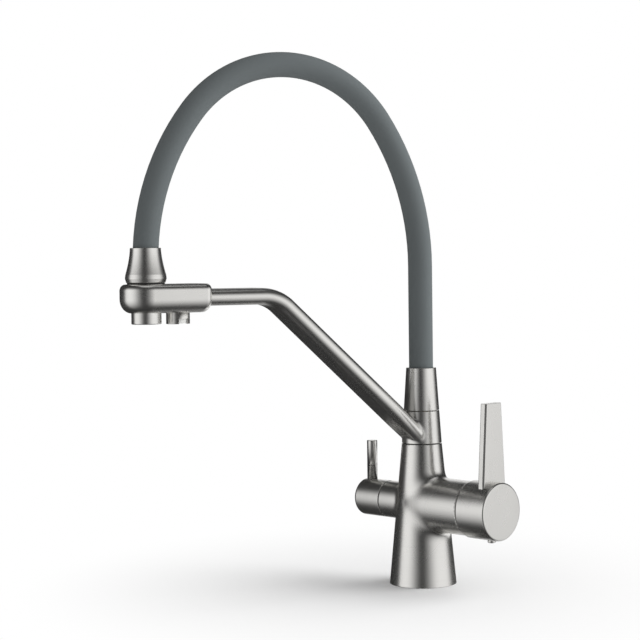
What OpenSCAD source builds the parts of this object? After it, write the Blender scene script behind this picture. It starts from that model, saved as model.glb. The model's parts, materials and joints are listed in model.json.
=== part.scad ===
// Three-way kitchen filter tap. The side lever mixes hot and cold water for the hose spout,
// and the quarter-turn knob sends filtered water through the flat arm to its own nozzle.
// Frame: deck plane at z = 0, body axis on z, mixer lever on +x, filter knob on -x, front on -y.
// The spout rests turned to the left, as the tap is usually photographed.

/* [Body] */
// Radius of the body cone at the deck
base_r = 27.2; // [26:0.1:30]
// Radius of the cone at the swivel seam, above which it is a little steeper
waist_r = 16.2; // [15.8:0.1:17]
// Radius of the cone where it ends round the hose
cone_top_r = 12.1; // [11.6:0.1:13]
// Height of the fixed body, up to the swivel seam
body_h = 114.3; // [110:0.5:117]
// Height of the valve axis above the deck
valve_z = 65.5; // [62:0.5:68]
// Wall left round the manifold in the foot of the body
foot_wall = 4.6; // [3:0.1:5]
// Height of the hose manifold in the foot
manifold_h = 15; // [13:0.5:18]

/* [Swivel] */
// Height of the swivel ring that carries the arm
ring_h = 26.6; // [25:0.1:29]
// Height of the ferrule round the foot of the hose
ferrule_h = 34.5; // [30:0.5:40]
// Radius of the fixed swivel stem
stem_r = 11; // [10.8:0.1:11.3]
// Thickness of the thrust washer that shows as the lower seam
thrust_washer_t = 0.6; // [0.4:0.1:1]
// Turn of the spout from the front towards the knob, in degrees
spout_yaw = 19.2; // [0:0.1:40]

/* [Mixer side] */
// Outer radius of the mixer tube
mixer_r = 21.8; // [21.2:0.1:23]
// Distance from the body axis to the end of the mixer tube
mixer_x = 54; // [52:0.2:57]
// Outer radius of the lever hub and cap
hub_r = 23; // [22.5:0.1:23.5]
// Outer radius of the mixer cartridge
cartridge_r = 17.5; // [17:0.1:18]
// Distance from the body axis to the front face of the lever cap
cap_x = 83.6; // [82:0.1:87]
// Thickness of the lever cap
cap_t = 6.9; // [5:0.1:8]
// Height of the lever's tip above the valve axis
blade_tip = 85; // [70:0.5:100]
// Thickness of the lever blade
blade_t = 6.4; // [3.5:0.1:7.5]
// Width of the lever blade at the hub
blade_root_w = 27.2; // [22:0.2:30]
// Width of the lever blade at its tip
blade_tip_w = 19.3; // [12:0.1:22]

/* [Filter side] */
// Outer radius of the filter tube and its knob
knob_r = 15.2; // [14:0.1:16]
// Distance from the body axis to the seam of the knob
knob_seam_x = 35.8; // [34:0.2:38]
// Length of the knob beyond its seam
knob_l = 27.8; // [24:0.1:30]
// Radius of the knob's pin lever
pin_r = 4.3; // [3:0.1:4.5]
// Height of the pin's tip above the valve axis
pin_tip = 47.5; // [35:0.5:60]

/* [Spout] */
// Distance from the body axis to the main outlet
reach = 235; // [225:1:250]
// Height of the arm's level run
arm_z = 236.8; // [225:0.2:250]
// Slope of the arm's rising run, in degrees
arm_slope = 42.7; // [40:0.1:45]
// Height at which the rising run would cross the body axis, above the swivel seam
arm_root = 0.6; // [0:0.1:4]
// Width of the flat arm
arm_w = 33.5; // [24:0.5:35]
// Thickness of the flat arm
arm_t = 12.8; // [9:0.1:13.5]
// Wall of the flat arm
arm_wall = 1.5; // [1:0.1:2]
// Radius of the arm's bend on its centre line
arm_bend_r = 32; // [20:1:45]

/* [Hose] */
// Outer radius of the silicone hose
hose_r = 9.75; // [9.3:0.05:10]
// Wall of the silicone hose
hose_wall = 2.7; // [2:0.1:3]
// Outer radius of the inner water hose
inner_hose_r = 6.6; // [6:0.1:6.8]
// Radius of the hose's first bend
first_bend_r = 202; // [180:1:220]
// Turn of the hose's first bend, in degrees
first_bend_turn = 35; // [31:0.5:39]
// Radius of the hose's last bend, down to the head
last_bend_r = 184; // [170:1:200]
// Turn of the hose's last bend, in degrees
last_bend_turn = 38; // [34:0.5:42]
// Depth inside the bell nut at which the last bend ends
bend_in_bell = 9.4; // [2:0.1:12]

/* [Head] */
// Width of the head block
head_w = 40; // [36:0.2:44]
// Height of the head block
head_h = 21.8; // [20:0.1:24]
// Height of the level arm's centre line above the block's underside
arm_in_head = 11.2; // [9.5:0.1:12]
// Length of the block from the main outlet back to the arm
head_back = 47; // [41:0.5:50]
// Radius of the block's lower edge
head_low_edge = 10.5; // [4:0.5:11]
// Radius of the block's upper edge
head_top_edge = 5; // [2:0.5:6]
// Radius of the main outlet
outlet_r = 11.4; // [11:0.1:12.5]
// Length of the outlets below the block
outlet_l = 8.4; // [6:0.1:10]
// Distance between the main outlet and the filter nozzle
outlet_pitch = 25.3; // [24.5:0.1:27]
// Radius of the filter nozzle
nozzle_r = 9.05; // [8.6:0.05:9.5]
// Height of the bell nut
bell_h = 26.5; // [24:0.1:32]
// Radius of the bell nut near its foot
bell_r = 15.8; // [14.8:0.1:17]
// Radius of the bell nut at the hose
bell_top_r = 11.7; // [11.2:0.1:12.5]

/* [Hidden] */
$fn = 64;
// Clearances: turning fits, push fits, gaps between moving pieces
turn_fit = 0.05;
push_fit = 0.05;
free_gap = 0.4;
seam = 0.4;
// Overshoot of a cut past the face that it opens
past = 1;
// Length of the bands over the seams of a bent tube, and how far they stand proud
band_l = 1;
hair = 0.1;

// Swivel heights, counted up from the body. The ferrule ends the cone.
ring_z = body_h + thrust_washer_t;
ring_top_z = ring_z + ring_h;
cone_h = ring_top_z + ferrule_h;
stem_seat_l = 12;
stem_foot_z = body_h - stem_seat_l;
stem_gasket_t = 1;
stem_step_drop = 3.4;
stem_step_z = ring_top_z - stem_step_drop;
stem_neck_l = 9;
stem_top_z = stem_step_z + stem_neck_l;
stem_bore_r = 4.5;
stem_shoulder = 2.5;
stem_neck_r = stem_r - stem_shoulder;
stem_neck_wall = 2.95;
stem_socket_r = stem_neck_r - stem_neck_wall;
stem_socket_floor = 1;
stem_socket_z = stem_step_z + stem_socket_floor;
gallery_up = 11.5;
gallery_z = ring_z + gallery_up;
gallery_h = 7;
gallery_depth = 1.1;
o_ring_r = 0.95;
o_ring_groove = 2.6;
stem_seal_pitch = 15;
stem_seal_z = [gallery_z - stem_seal_pitch / 2, gallery_z + stem_seal_pitch / 2];
filter_way_r = 1.3;
filter_way_wall = 1;
filter_way_x = stem_bore_r + filter_way_wall + filter_way_r;
washer_setback = 1;
swivel_washer_t = 1;
washer_top_z = ring_top_z + swivel_washer_t;
circlip_t = 1.2;
circlip_mid_z = washer_top_z + circlip_t / 2 + 2 * push_fit;
circlip_depth = 0.8;
circlip_out = 1.5;
circlip_mouth = 3;
circlip_in_r = stem_neck_r - circlip_depth;
circlip_out_r = stem_neck_r + circlip_out;
ring_step = 1.2;
neck_room = 2.4;
neck_wall = 1.3;
neck_in_r = stem_neck_r + neck_room;
neck_out_r = neck_in_r + neck_wall;
neck_h = 7.6;
spigot_flange_t = 3.2;
spigot_flange_z = ring_top_z + neck_h;
hose_foot_z = spigot_flange_z + spigot_flange_t;
barb_l = 13;
inner_bore_r = 4.5;
water_way_r = 3.2;
spigot_foot_gap = 0.6;
spigot_seal_r = 0.6;
spigot_seal_fit = 0.1;
spigot_seal_up = 2.8;
spigot_seal_z = stem_socket_z + spigot_seal_up;
spigot_groove_w = 1.6;

// Manifold: hose inlets, fixing holes and the ways up to the valves
manifold_r = base_r - foot_wall - push_fit;
manifold_gasket_t = 1;
inlet_r = 4.5;
inlet_l = 10;
inlet_x = 9;
inlet_y = 8;
filter_inlet_x = -11.5;
fixing_r = 3.4;
fixing_l = 12;
fixing_x = -3;
fixing_y = 14.5;
riser_r = 3;
filter_riser_r = 2;
deck_seal_w = 1.6;
deck_seal_in_r = base_r - (foot_wall + deck_seal_w) / 2;
deck_seal_h = 1.6;

// Mixer valve along x, from the floor of its bore. The tube's root tapers into the cone.
mixer_root_x = 8;
mixer_root_inset = 0.7;
mixer_root_r = sqrt(pow(cone_r(valve_z), 2) - pow(mixer_root_x, 2)) - mixer_root_inset;
cartridge_floor_x = 20;
cartridge_fit = 0.2;
cartridge_bore_r = cartridge_r + cartridge_fit;
cartridge_base_t = 3;
cartridge_wall = 2;
disc_t = 4;
fixed_disc_x = cartridge_floor_x + cartridge_base_t;
moving_disc_x = fixed_disc_x + disc_t;
driver_x = moving_disc_x + disc_t;
driver_t = 4.5;
driver_gap = 0.5;
carrier_x = driver_x + driver_t + driver_gap;
carrier_l = 8.6;
carrier_r = cartridge_r - cartridge_wall - cartridge_fit;
carrier_slot = 18.2;
housing_end_x = carrier_x + carrier_l + free_gap;
nut_l = 6.8;
nut_end_x = housing_end_x + nut_l;
nut_hole_r = 10;
nut_slots = 6;
nut_slot_l = 5;
nut_slot_w = 3;
nut_slot_depth = 2.5;
pivot_depth = 5;
pivot_x = carrier_x + pivot_depth;
pivot_r = 1.5;
pivot_l = 27;
ball_x = driver_x + (driver_t + driver_gap) / 2;
ball_r = 2.2;
ball_room = 0.3;
ball_neck_r = 1.4;
ball_neck_shoulder = 1.2;
stem_side = 7;
closed_offset = 1.3;
moving_disc_r = 12;
pocket_r = 8;
pocket_down = 2.6;
driver_r = 11.5;
port_r = 3;
port_y = inlet_y;
port_up = 4.5;
mixed_down = 8.5;
cartridge_seal_r = 0.8;
seal_seat = 2 * cartridge_seal_r;

// Lever: the collar is a dome under the hub, and both are spheres about the tilt pivot
collar_x = mixer_x + seam;
collar_l = 0.6;
collar_recess = 1.5;
collar_wall = 5.6;
collar_r = hub_r - collar_recess;
collar_hole_r = collar_r - collar_wall;
ball_joint_r = sqrt(pow(collar_r, 2) + pow(collar_x + collar_l - pivot_x, 2));
hub_x = cap_x - cap_t;
// Gap behind the hub, through which the rim of the collar shows
hub_gap = 1.6;
hub_rear_x = mixer_x + hub_gap;
cap_edge = 1.6;
boss_r = 7;
boss_l = 14.2;
boss_x = hub_x - boss_l;
stem_socket = stem_side + 2 * push_fit;
blade_foot = 12.5;
set_screw_r = 1.5;
set_screw_l = 8;
set_screw_back = 1.9;
set_screw_x = hub_x - set_screw_back;
hex_r = 0.8;
hex_depth = 2;
plug_l = 4;
plug_inset = 0.5;
lip_r = 3.2;
lip_out = 2;
lip_x = hub_x - lip_r - seam;

// Filter valve along -x, from the floor of its bore
filter_floor_x = 18;
filter_bore_r = 10;
filter_seal_t = 1;
filter_disc_r = 7.5;
filter_disc_t = 3;
filter_port = 4;
filter_port_r = 2;
filter_disc_x = filter_floor_x + filter_seal_t;
filter_turn_x = filter_disc_x + filter_disc_t;
spindle_x = filter_turn_x + filter_disc_t;
spindle_flange_t = 3;
spindle_flange_r = 6;
spindle_r = 4;
valve_head_l = 4.2;
valve_head_x = knob_seam_x + valve_head_l;
knob_x = knob_seam_x + seam;
knob_end_x = knob_seam_x + knob_l + seam;
knob_recess_l = 6;
knob_recess_room = 1;
knob_recess_r = filter_bore_r + knob_recess_room;
knob_edge = 3;
knob_floor = 5;
spindle_end_x = knob_end_x - knob_floor;
pin_setback = 7.8;
pin_x = knob_end_x - pin_setback;

// Arm: where the two runs would meet, and how long each is
arm_root_z = body_h + arm_root;
bend_s = (arm_z - arm_root_z) / tan(arm_slope);
bend_back = arm_bend_r * tan(arm_slope / 2);
rise_l = bend_s / cos(arm_slope) - bend_back;
arm_socket = 10;
head_rear_s = reach - head_back;
arm_end_s = head_rear_s + arm_socket;
filter_tube_r = 3.175;
filter_tube_wall = 1.1;
tube_setback = 3;
tube_start = (stem_r + tube_setback) / cos(arm_slope);
nozzle_s = reach - outlet_pitch;
tube_short = 4;
tube_end_s = nozzle_s - tube_short;

// Head: heights of the block and of what screws into it
head_z = arm_z - arm_in_head;
head_top_z = head_z + head_h;
head_washer_t = 0.9;
head_washer_setback = 1.5;
head_washer_r = bell_r - head_washer_setback;
bell_z = head_top_z + head_washer_t;
nipple_flange_t = 4.4;
bell_wall = 3.1;
nipple_flange_r = bell_r - bell_wall;
nipple_r = 6.9;
nipple_l = 9;
hose_end_z = bell_z + nipple_flange_t;
aerator_step = 1.5;
aerator_neck_r = outlet_r - aerator_step;
aerator_neck_l = 6.4;
aerator_wall = 1.3;
aerator_bore_r = aerator_neck_r - aerator_wall;
aerator_lip = 1;
aerator_lip_t = 1.6;
aerator_seal_t = 1;
jet_r = 0.55;
jet_pitch = 2.7;
jets_in_ring = 6;
insert_wall = 1.5;
insert_floor = 2;
nozzle_extra = 0.3;
nozzle_z = head_z - outlet_l - nozzle_extra;
nozzle_step = 1.75;
nozzle_neck_r = nozzle_r - nozzle_step;
nozzle_neck_l = 5;
nozzle_wall = 1.7;
nozzle_bore_r = nozzle_neck_r - nozzle_wall;
nozzle_roof = 1.5;
nozzle_skirt_wall = 1.5;
nozzle_skirt_r = nozzle_r - nozzle_skirt_wall;
nozzle_shoulder_z = head_z - nozzle_roof;
nozzle_insert_inset = 0.4;
nozzle_insert_z = nozzle_z + nozzle_insert_inset;
key_slot_w = 8;
key_slot_h = 3.9;
key_slot_turn = 10;
bell_foot_h = 5;
bell_foot_edge = 0.8;
bell_flank_steps = 12;
bell_flare = 1.6;

// Hose: three bends that touch smoothly, laid out from the bell nut back to the body.
// The crown takes the radius that fits the reach.
bends_reach = first_bend_r * (1 - cos(first_bend_turn)) + last_bend_r * (1 - cos(last_bend_turn));
crown_r = (reach - bends_reach) / (cos(first_bend_turn) + cos(last_bend_turn));
last_at = [reach - last_bend_r, bell_z + bell_h - bend_in_bell];
crown_at = last_at + (last_bend_r - crown_r) * [cos(last_bend_turn), sin(last_bend_turn)];
hose_bend_z = crown_at[1] - (first_bend_r - crown_r) * sin(first_bend_turn);
// Room in the bell nut's mouth for the hose, which is still bending there
bell_ease = pow(bend_in_bell, 2) / (2 * last_bend_r) + push_fit;

nickel = "silver";
dark_rubber = "dimgray";
brass = "darkkhaki";
ceramic = "ivory";
plastic = "whitesmoke";
silicone = "slategray";

// Helpers

// Radius of the body's outline, which turns a little steeper at the swivel seam
function cone_r(z) = z < ring_z
    ? base_r - z * (base_r - waist_r) / ring_z
    : waist_r - (z - ring_z) * (waist_r - cone_top_r) / (cone_h - ring_z);

// A slice of the body cone between two heights
module cone_slice(low_z, high_z, grow = 0) {
    translate([0, 0, low_z])
        cylinder(h = high_z - low_z, r1 = cone_r(low_z) + grow, r2 = cone_r(high_z) + grow);
}

// A tube on z between two heights
module tube(outer_r, inner_r, low_z, high_z) {
    translate([0, 0, low_z])
        difference() {
            cylinder(h = high_z - low_z, r = outer_r);
            translate([0, 0, -past])
                cylinder(h = high_z - low_z + 2 * past, r = inner_r);
        }
}

module rod(r, low_z, high_z) {
    translate([0, 0, low_z])
        cylinder(h = high_z - low_z, r = r);
}

// A groove round the swivel stem, cut down to a radius
module ring_groove(floor_r, z, width) {
    tube(stem_r + past, floor_r, z - width / 2, z + width / 2);
}

module torus(centre_r, r, z) {
    translate([0, 0, z])
        rotate_extrude()
            translate([centre_r, 0])
                circle(r);
}

// Valve frames: their local z runs outwards from the body axis and their local x points up
module on_mixer_axis() {
    translate([0, 0, valve_z])
        rotate([0, 90, 0])
            rotate([0, 0, 180])
                children();
}

module on_filter_axis() {
    translate([0, 0, valve_z])
        rotate([0, -90, 0])
            children();
}

// Spout frame, turned with the arm
module on_spout() {
    rotate([0, 0, -spout_yaw])
        children();
}

// Side view of the spout: x is the distance along the arm, y is the height, z is across
module on_spout_side() {
    on_spout()
        rotate([90, 0, -90])
            children();
}

module at_outlet(s) {
    on_spout()
        translate([0, -s, 0])
            children();
}

// A straight run of a section in the side view
module run(at, direction, length) {
    translate([at[0], at[1], 0])
        rotate([0, 0, direction])
            rotate([90, 0, 90])
                linear_extrude(length)
                    children();
}

// A bend of a section in the side view
module bend(centre, bend_r, from, turn) {
    translate([centre[0], centre[1], 0])
        rotate([0, 0, from])
            rotate_extrude(angle = turn)
                translate([bend_r, 0])
                    children();
}

module flat_oval(width, thickness) {
    square([thickness, width - thickness], center = true);
    for (side = [-1, 1])
        translate([0, side * (width - thickness) / 2])
            circle(thickness / 2);
}

// A hair-thin band over the seam of two runs, so that they join as one solid
module band(at, direction) {
    translate([at[0], at[1], 0])
        rotate([0, 0, direction])
            rotate([90, 0, 90])
                linear_extrude(band_l, center = true)
                    children();
}

// The way along the arm, from a distance up the rising run to a distance from the body axis.
// The first child is the section, the second the section of the bands.
module along_arm(start, end_s) {
    on_spout_side() {
        run([start * cos(arm_slope), arm_root_z + start * sin(arm_slope)], arm_slope, rise_l - start)
            children(0);
        band([rise_l * cos(arm_slope), arm_root_z + rise_l * sin(arm_slope)], arm_slope)
            children(1);
        bend([bend_s + bend_back, arm_z - arm_bend_r], arm_bend_r, 90, arm_slope)
            children(0);
        band([bend_s + bend_back, arm_z], 0)
            children(1);
        run([bend_s + bend_back, arm_z], 0, end_s - bend_s - bend_back)
            children(0);
    }
}

module tube_along_arm(outer_r, start, end_s) {
    along_arm(start, end_s) {
        circle(outer_r);
        circle(outer_r + hair);
    }
}

module flat_along_arm(width, thickness, start, end_s) {
    along_arm(start, end_s) {
        flat_oval(width, thickness);
        flat_oval(width + 2 * hair, thickness + 2 * hair);
    }
}

// A round solid along the hose, from the spigot over the crown to the head
module along_hose(r, longer = 0) {
    on_spout_side() {
        run([0, hose_foot_z - longer], 90, hose_bend_z - hose_foot_z + longer)
            circle(r);
        band([0, hose_bend_z], 90)
            circle(r + hair);
        bend([first_bend_r, hose_bend_z], first_bend_r, 180 - first_bend_turn, first_bend_turn)
            circle(r);
        band(crown_at + crown_r * [-cos(first_bend_turn), sin(first_bend_turn)], 90 - first_bend_turn)
            circle(r + hair);
        bend(crown_at, crown_r, last_bend_turn, 180 - first_bend_turn - last_bend_turn)
            circle(r);
        band(crown_at + crown_r * [cos(last_bend_turn), sin(last_bend_turn)], last_bend_turn - 90)
            circle(r + hair);
        bend(last_at, last_bend_r, 0, last_bend_turn)
            circle(r);
        band([reach, last_at[1]], 90)
            circle(r + hair);
        run([reach, hose_end_z - longer], 90, last_at[1] - hose_end_z + longer)
            circle(r);
    }
}

// The three inlets of the manifold
module at_inlets() {
    for (at = [[inlet_x, -inlet_y], [inlet_x, inlet_y], [filter_inlet_x, 0]])
        translate([at[0], at[1], 0])
            children();
}

// The hot, cold and mixed ports in the mixer frame
module at_mixer_ports() {
    for (at = [[port_up, -port_y], [port_up, port_y], [-mixed_down, 0]])
        translate([at[0], at[1], 0])
            children();
}

// The inlet and outlet ports in the filter valve's frame
module at_filter_ports() {
    for (up = [-filter_port, filter_port])
        translate([up, 0, 0])
            children();
}

// Fixed body

module body_casting() {
    color(nickel)
        difference() {
            union() {
                cone_slice(0, body_h);
                on_mixer_axis() {
                    translate([0, 0, -mixer_root_x])
                        cylinder(h = 2 * mixer_root_x, r1 = mixer_root_r, r2 = mixer_r);
                    rod(mixer_r, mixer_root_x, mixer_x);
                }
                on_filter_axis()
                    cylinder(h = knob_seam_x, r = knob_r);
            }
            rod(base_r - foot_wall, -past, manifold_h + manifold_gasket_t);
            tube(deck_seal_in_r + deck_seal_w, deck_seal_in_r, -past, deck_seal_h);
            rod(stem_r + push_fit, stem_foot_z - stem_gasket_t, body_h + past);
            on_mixer_axis()
                rod(cartridge_bore_r, cartridge_floor_x, mixer_x + past);
            on_filter_axis()
                rod(filter_bore_r, filter_floor_x, knob_seam_x + past);
            body_water_ways();
        }
}

// Drilled ways in the casting, from the manifold to the valves and on to the stem
module body_water_ways() {
    for (side = [-1, 1])
        translate([inlet_x, side * inlet_y, 0])
            rod(riser_r, manifold_h, valve_z + port_up);
    on_mixer_axis() {
        for (side = [-1, 1])
            translate([port_up, side * port_y, 0])
                rod(riser_r, inlet_x, cartridge_floor_x + past);
        translate([-mixed_down, 0, 0])
            rod(port_r, 0, cartridge_floor_x + past);
    }
    rod(stem_bore_r, valve_z - mixed_down, stem_foot_z);
    translate([filter_inlet_x, 0, 0])
        rod(filter_riser_r, manifold_h, valve_z - filter_port);
    on_filter_axis() {
        translate([-filter_port, 0, 0])
            rod(filter_port_r, -filter_inlet_x, filter_floor_x + past);
        translate([filter_port, 0, 0])
            rod(filter_port_r, filter_way_x, filter_floor_x + past);
    }
    translate([-filter_way_x, 0, 0])
        rod(filter_way_r, valve_z + filter_port, stem_foot_z);
}

module hose_manifold() {
    color(brass)
        difference() {
            rod(manifold_r, 0, manifold_h);
            at_inlets() {
                rod(inlet_r, -past, inlet_l);
                rod(riser_r, 0, manifold_h + past);
            }
            for (side = [-1, 1])
                translate([fixing_x, side * fixing_y, 0])
                    rod(fixing_r, -past, fixing_l);
        }
}

module manifold_gasket() {
    color(dark_rubber)
        difference() {
            rod(manifold_r, manifold_h, manifold_h + manifold_gasket_t);
            at_inlets()
                rod(riser_r, manifold_h - past, manifold_h + manifold_gasket_t + past);
        }
}

module deck_seal() {
    color(dark_rubber)
        tube(deck_seal_in_r + deck_seal_w - push_fit, deck_seal_in_r + push_fit, 0, deck_seal_h);
}

module swivel_stem() {
    color(brass)
        difference() {
            union() {
                rod(stem_r, stem_foot_z, stem_step_z);
                rod(stem_neck_r, stem_foot_z, stem_top_z);
            }
            rod(stem_bore_r, stem_foot_z - past, stem_top_z + past);
            rod(stem_socket_r, stem_socket_z, stem_top_z + past);
            ring_groove(stem_r - gallery_depth, gallery_z, gallery_h);
            for (z = stem_seal_z)
                ring_groove(stem_r - 2 * o_ring_r - push_fit, z, o_ring_groove);
            ring_groove(circlip_in_r, circlip_mid_z, circlip_t + 2 * push_fit);
            translate([-filter_way_x, 0, 0])
                rod(filter_way_r, stem_foot_z - past, gallery_z);
            translate([0, 0, gallery_z])
                rotate([0, -90, 0])
                    rod(filter_way_r, filter_way_x, stem_r);
        }
}

module stem_gasket() {
    color(dark_rubber)
        difference() {
            rod(stem_r, stem_foot_z - stem_gasket_t, stem_foot_z);
            rod(stem_bore_r, stem_foot_z - stem_gasket_t - past, stem_foot_z + past);
            translate([-filter_way_x, 0, 0])
                rod(filter_way_r, stem_foot_z - stem_gasket_t - past, stem_foot_z + past);
        }
}

module swivel_o_rings() {
    color(dark_rubber)
        for (z = stem_seal_z)
            torus(stem_r - o_ring_r - push_fit / 2, o_ring_r, z);
}

module thrust_washer() {
    color(dark_rubber)
        tube(cone_r(body_h) - washer_setback, stem_r + push_fit, body_h, ring_z);
}

module swivel_washer() {
    color(plastic)
        tube(neck_in_r - push_fit, stem_neck_r + push_fit, ring_top_z + push_fit, washer_top_z);
}

module stem_circlip() {
    color(nickel)
        difference() {
            tube(circlip_out_r, circlip_in_r, washer_top_z + push_fit, washer_top_z + push_fit + circlip_t);
            translate([0, -circlip_mouth / 2, ring_top_z])
                cube([circlip_out_r + past, circlip_mouth, swivel_washer_t + circlip_t + past]);
        }
}

// Mixer valve

module cartridge_housing() {
    color(plastic)
        on_mixer_axis()
            difference() {
                rod(cartridge_r, cartridge_floor_x, housing_end_x);
                rod(cartridge_r - cartridge_wall, fixed_disc_x, housing_end_x + past);
                at_mixer_ports() {
                    rod(port_r, cartridge_floor_x - past, fixed_disc_x + past);
                    rod(port_r + seal_seat, cartridge_floor_x - past, cartridge_floor_x + seal_seat);
                }
            }
}

module cartridge_seals() {
    color(dark_rubber)
        on_mixer_axis()
            at_mixer_ports()
                torus(port_r + cartridge_seal_r, cartridge_seal_r, cartridge_floor_x + cartridge_seal_r);
}

module fixed_ceramic_disc() {
    color(ceramic)
        on_mixer_axis()
            difference() {
                rod(cartridge_r - cartridge_wall - push_fit, fixed_disc_x, moving_disc_x);
                at_mixer_ports()
                    rod(port_r, fixed_disc_x - past, moving_disc_x + past);
            }
}

// Slides up to open, with a mixing pocket on its back
module moving_ceramic_disc() {
    color(ceramic)
        on_mixer_axis()
            translate([-closed_offset, 0, 0])
                difference() {
                    rod(moving_disc_r, moving_disc_x, driver_x);
                    translate([-pocket_down, 0, 0])
                        rod(pocket_r, moving_disc_x - past, moving_disc_x + disc_t / 2);
                }
}

module disc_driver() {
    ball_slot = 2 * (ball_r + ball_room);
    color(plastic)
        on_mixer_axis()
            translate([-closed_offset, 0, 0])
                difference() {
                    rod(driver_r, driver_x, driver_x + driver_t);
                    translate([closed_offset, 0, driver_x + driver_t / 2 + past])
                        cube([ball_slot, ball_slot, driver_t + 2 * past], center = true);
                }
}

module cartridge_carrier() {
    color(plastic)
        on_mixer_axis()
            difference() {
                rod(carrier_r, carrier_x, carrier_x + carrier_l);
                translate([0, 0, carrier_x + carrier_l / 2])
                    cube([carrier_slot, stem_side + 2 * free_gap, carrier_l + 2 * past], center = true);
                translate([0, 0, pivot_x])
                    rotate([90, 0, 0])
                        cylinder(h = 2 * cartridge_r, r = pivot_r, center = true);
            }
}

module pivot_pin() {
    color(nickel)
        on_mixer_axis()
            translate([0, 0, pivot_x])
                rotate([90, 0, 0])
                    cylinder(h = pivot_l, r = pivot_r, center = true);
}

module cartridge_nut() {
    color(brass)
        on_mixer_axis()
            difference() {
                rod(cartridge_bore_r - push_fit, housing_end_x, nut_end_x);
                rod(nut_hole_r, housing_end_x - past, nut_end_x + past);
                for (slot = [1:nut_slots])
                    rotate([0, 0, slot * 360 / nut_slots])
                        translate([nut_hole_r - past, -nut_slot_w / 2, nut_end_x - nut_slot_depth])
                            cube([nut_slot_l + past, nut_slot_w, nut_slot_depth + past]);
            }
}

module trim_collar() {
    color(nickel)
        on_mixer_axis()
            difference() {
                union() {
                    rod(cartridge_bore_r - push_fit, nut_end_x, collar_x);
                    intersection() {
                        rod(collar_r, collar_x, cap_x);
                        translate([0, 0, pivot_x])
                            sphere(ball_joint_r);
                    }
                }
                rod(collar_hole_r, nut_end_x - past, cap_x);
            }
}

// Lever

// Square stem with a thin neck and a ball that moves the driver
module lever_stem() {
    square_x = carrier_x + ball_neck_shoulder;
    color(nickel)
        on_mixer_axis() {
            difference() {
                translate([0, 0, (square_x + hub_x) / 2])
                    cube([stem_side, stem_side, hub_x - square_x], center = true);
                translate([0, 0, pivot_x])
                    rotate([90, 0, 0])
                        cylinder(h = 2 * stem_side, r = pivot_r + turn_fit, center = true);
            }
            rod(ball_neck_r, ball_x, square_x + past);
            translate([0, 0, ball_x])
                sphere(ball_r);
        }
}

module lever_hub() {
    color(nickel)
        on_mixer_axis()
            difference() {
                union() {
                    difference() {
                        rod(hub_r, hub_rear_x, hub_x);
                        translate([0, 0, pivot_x])
                            sphere(ball_joint_r + free_gap);
                    }
                    rod(boss_r, boss_x, hub_x);
                    screw_lip();
                }
                translate([0, 0, (boss_x + hub_x) / 2])
                    cube([stem_socket, stem_socket, hub_x - boss_x + 2 * past], center = true);
                translate([blade_foot, -blade_root_w / 2 - push_fit, hub_x - blade_t - push_fit])
                    cube([hub_r, blade_root_w + 2 * push_fit, blade_t + past]);
                translate([-stem_side / 2, 0, set_screw_x])
                    rotate([0, -90, 0])
                        cylinder(h = hub_r, r = set_screw_r + push_fit);
            }
}

// Small lip round the set screw's mouth, under the hub
module screw_lip() {
    intersection() {
        translate([-hub_r - lip_out, 0, lip_x])
            rotate([0, 90, 0])
                cylinder(h = hub_r, r = lip_r);
        difference() {
            rod(hub_r + 2 * lip_out, hub_rear_x, hub_x);
            translate([0, 0, pivot_x])
                sphere(ball_joint_r + free_gap);
        }
    }
}

// Flat blade that widens towards the hub, standing in the hub's slot behind the cap
module lever_blade() {
    color(nickel)
        on_mixer_axis()
            translate([0, 0, hub_x - blade_t])
                linear_extrude(blade_t)
                    polygon([
                        [blade_foot, -blade_root_w / 2],
                        [blade_foot, blade_root_w / 2],
                        [hub_r, blade_root_w / 2],
                        [blade_tip, blade_tip_w / 2],
                        [blade_tip, -blade_tip_w / 2],
                        [hub_r, -blade_root_w / 2]
                    ]);
}

module lever_cap() {
    color(nickel)
        on_mixer_axis()
            translate([0, 0, hub_x])
                rotate_extrude() {
                    square([hub_r - cap_edge, cap_t]);
                    square([hub_r, cap_t - cap_edge]);
                    translate([hub_r - cap_edge, cap_t - cap_edge])
                        intersection() {
                            circle(cap_edge);
                            square(cap_edge);
                        }
                }
}

module lever_set_screw() {
    color(nickel)
        on_mixer_axis()
            translate([-stem_side / 2, 0, set_screw_x])
                rotate([0, -90, 0])
                    difference() {
                        cylinder(h = set_screw_l, r = set_screw_r);
                        translate([0, 0, set_screw_l - hex_depth])
                            cylinder(h = hex_depth + past, r = hex_r, $fn = 6);
                    }
}

module set_screw_plug() {
    color(dark_rubber)
        on_mixer_axis()
            translate([plug_inset - hub_r, 0, set_screw_x])
                rotate([0, 90, 0])
                    cylinder(h = plug_l, r = set_screw_r);
}

// Filter valve

module filter_valve_body() {
    flange_end_x = spindle_x + spindle_flange_t;
    color(brass)
        on_filter_axis()
            difference() {
                rod(filter_bore_r - push_fit, filter_disc_x, valve_head_x);
                rod(filter_disc_r + 2 * push_fit, filter_disc_x - past, flange_end_x + free_gap);
                rod(spindle_r + turn_fit, filter_disc_x, valve_head_x + past);
            }
}

module filter_valve_seal() {
    color(dark_rubber)
        on_filter_axis()
            difference() {
                rod(filter_bore_r - push_fit, filter_floor_x, filter_disc_x);
                at_filter_ports()
                    rod(filter_port_r, filter_floor_x - past, filter_disc_x + past);
            }
}

module filter_fixed_disc() {
    color(ceramic)
        on_filter_axis()
            difference() {
                rod(filter_disc_r, filter_disc_x, filter_turn_x);
                at_filter_ports()
                    rod(filter_port_r, filter_disc_x - past, filter_turn_x + past);
            }
}

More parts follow.
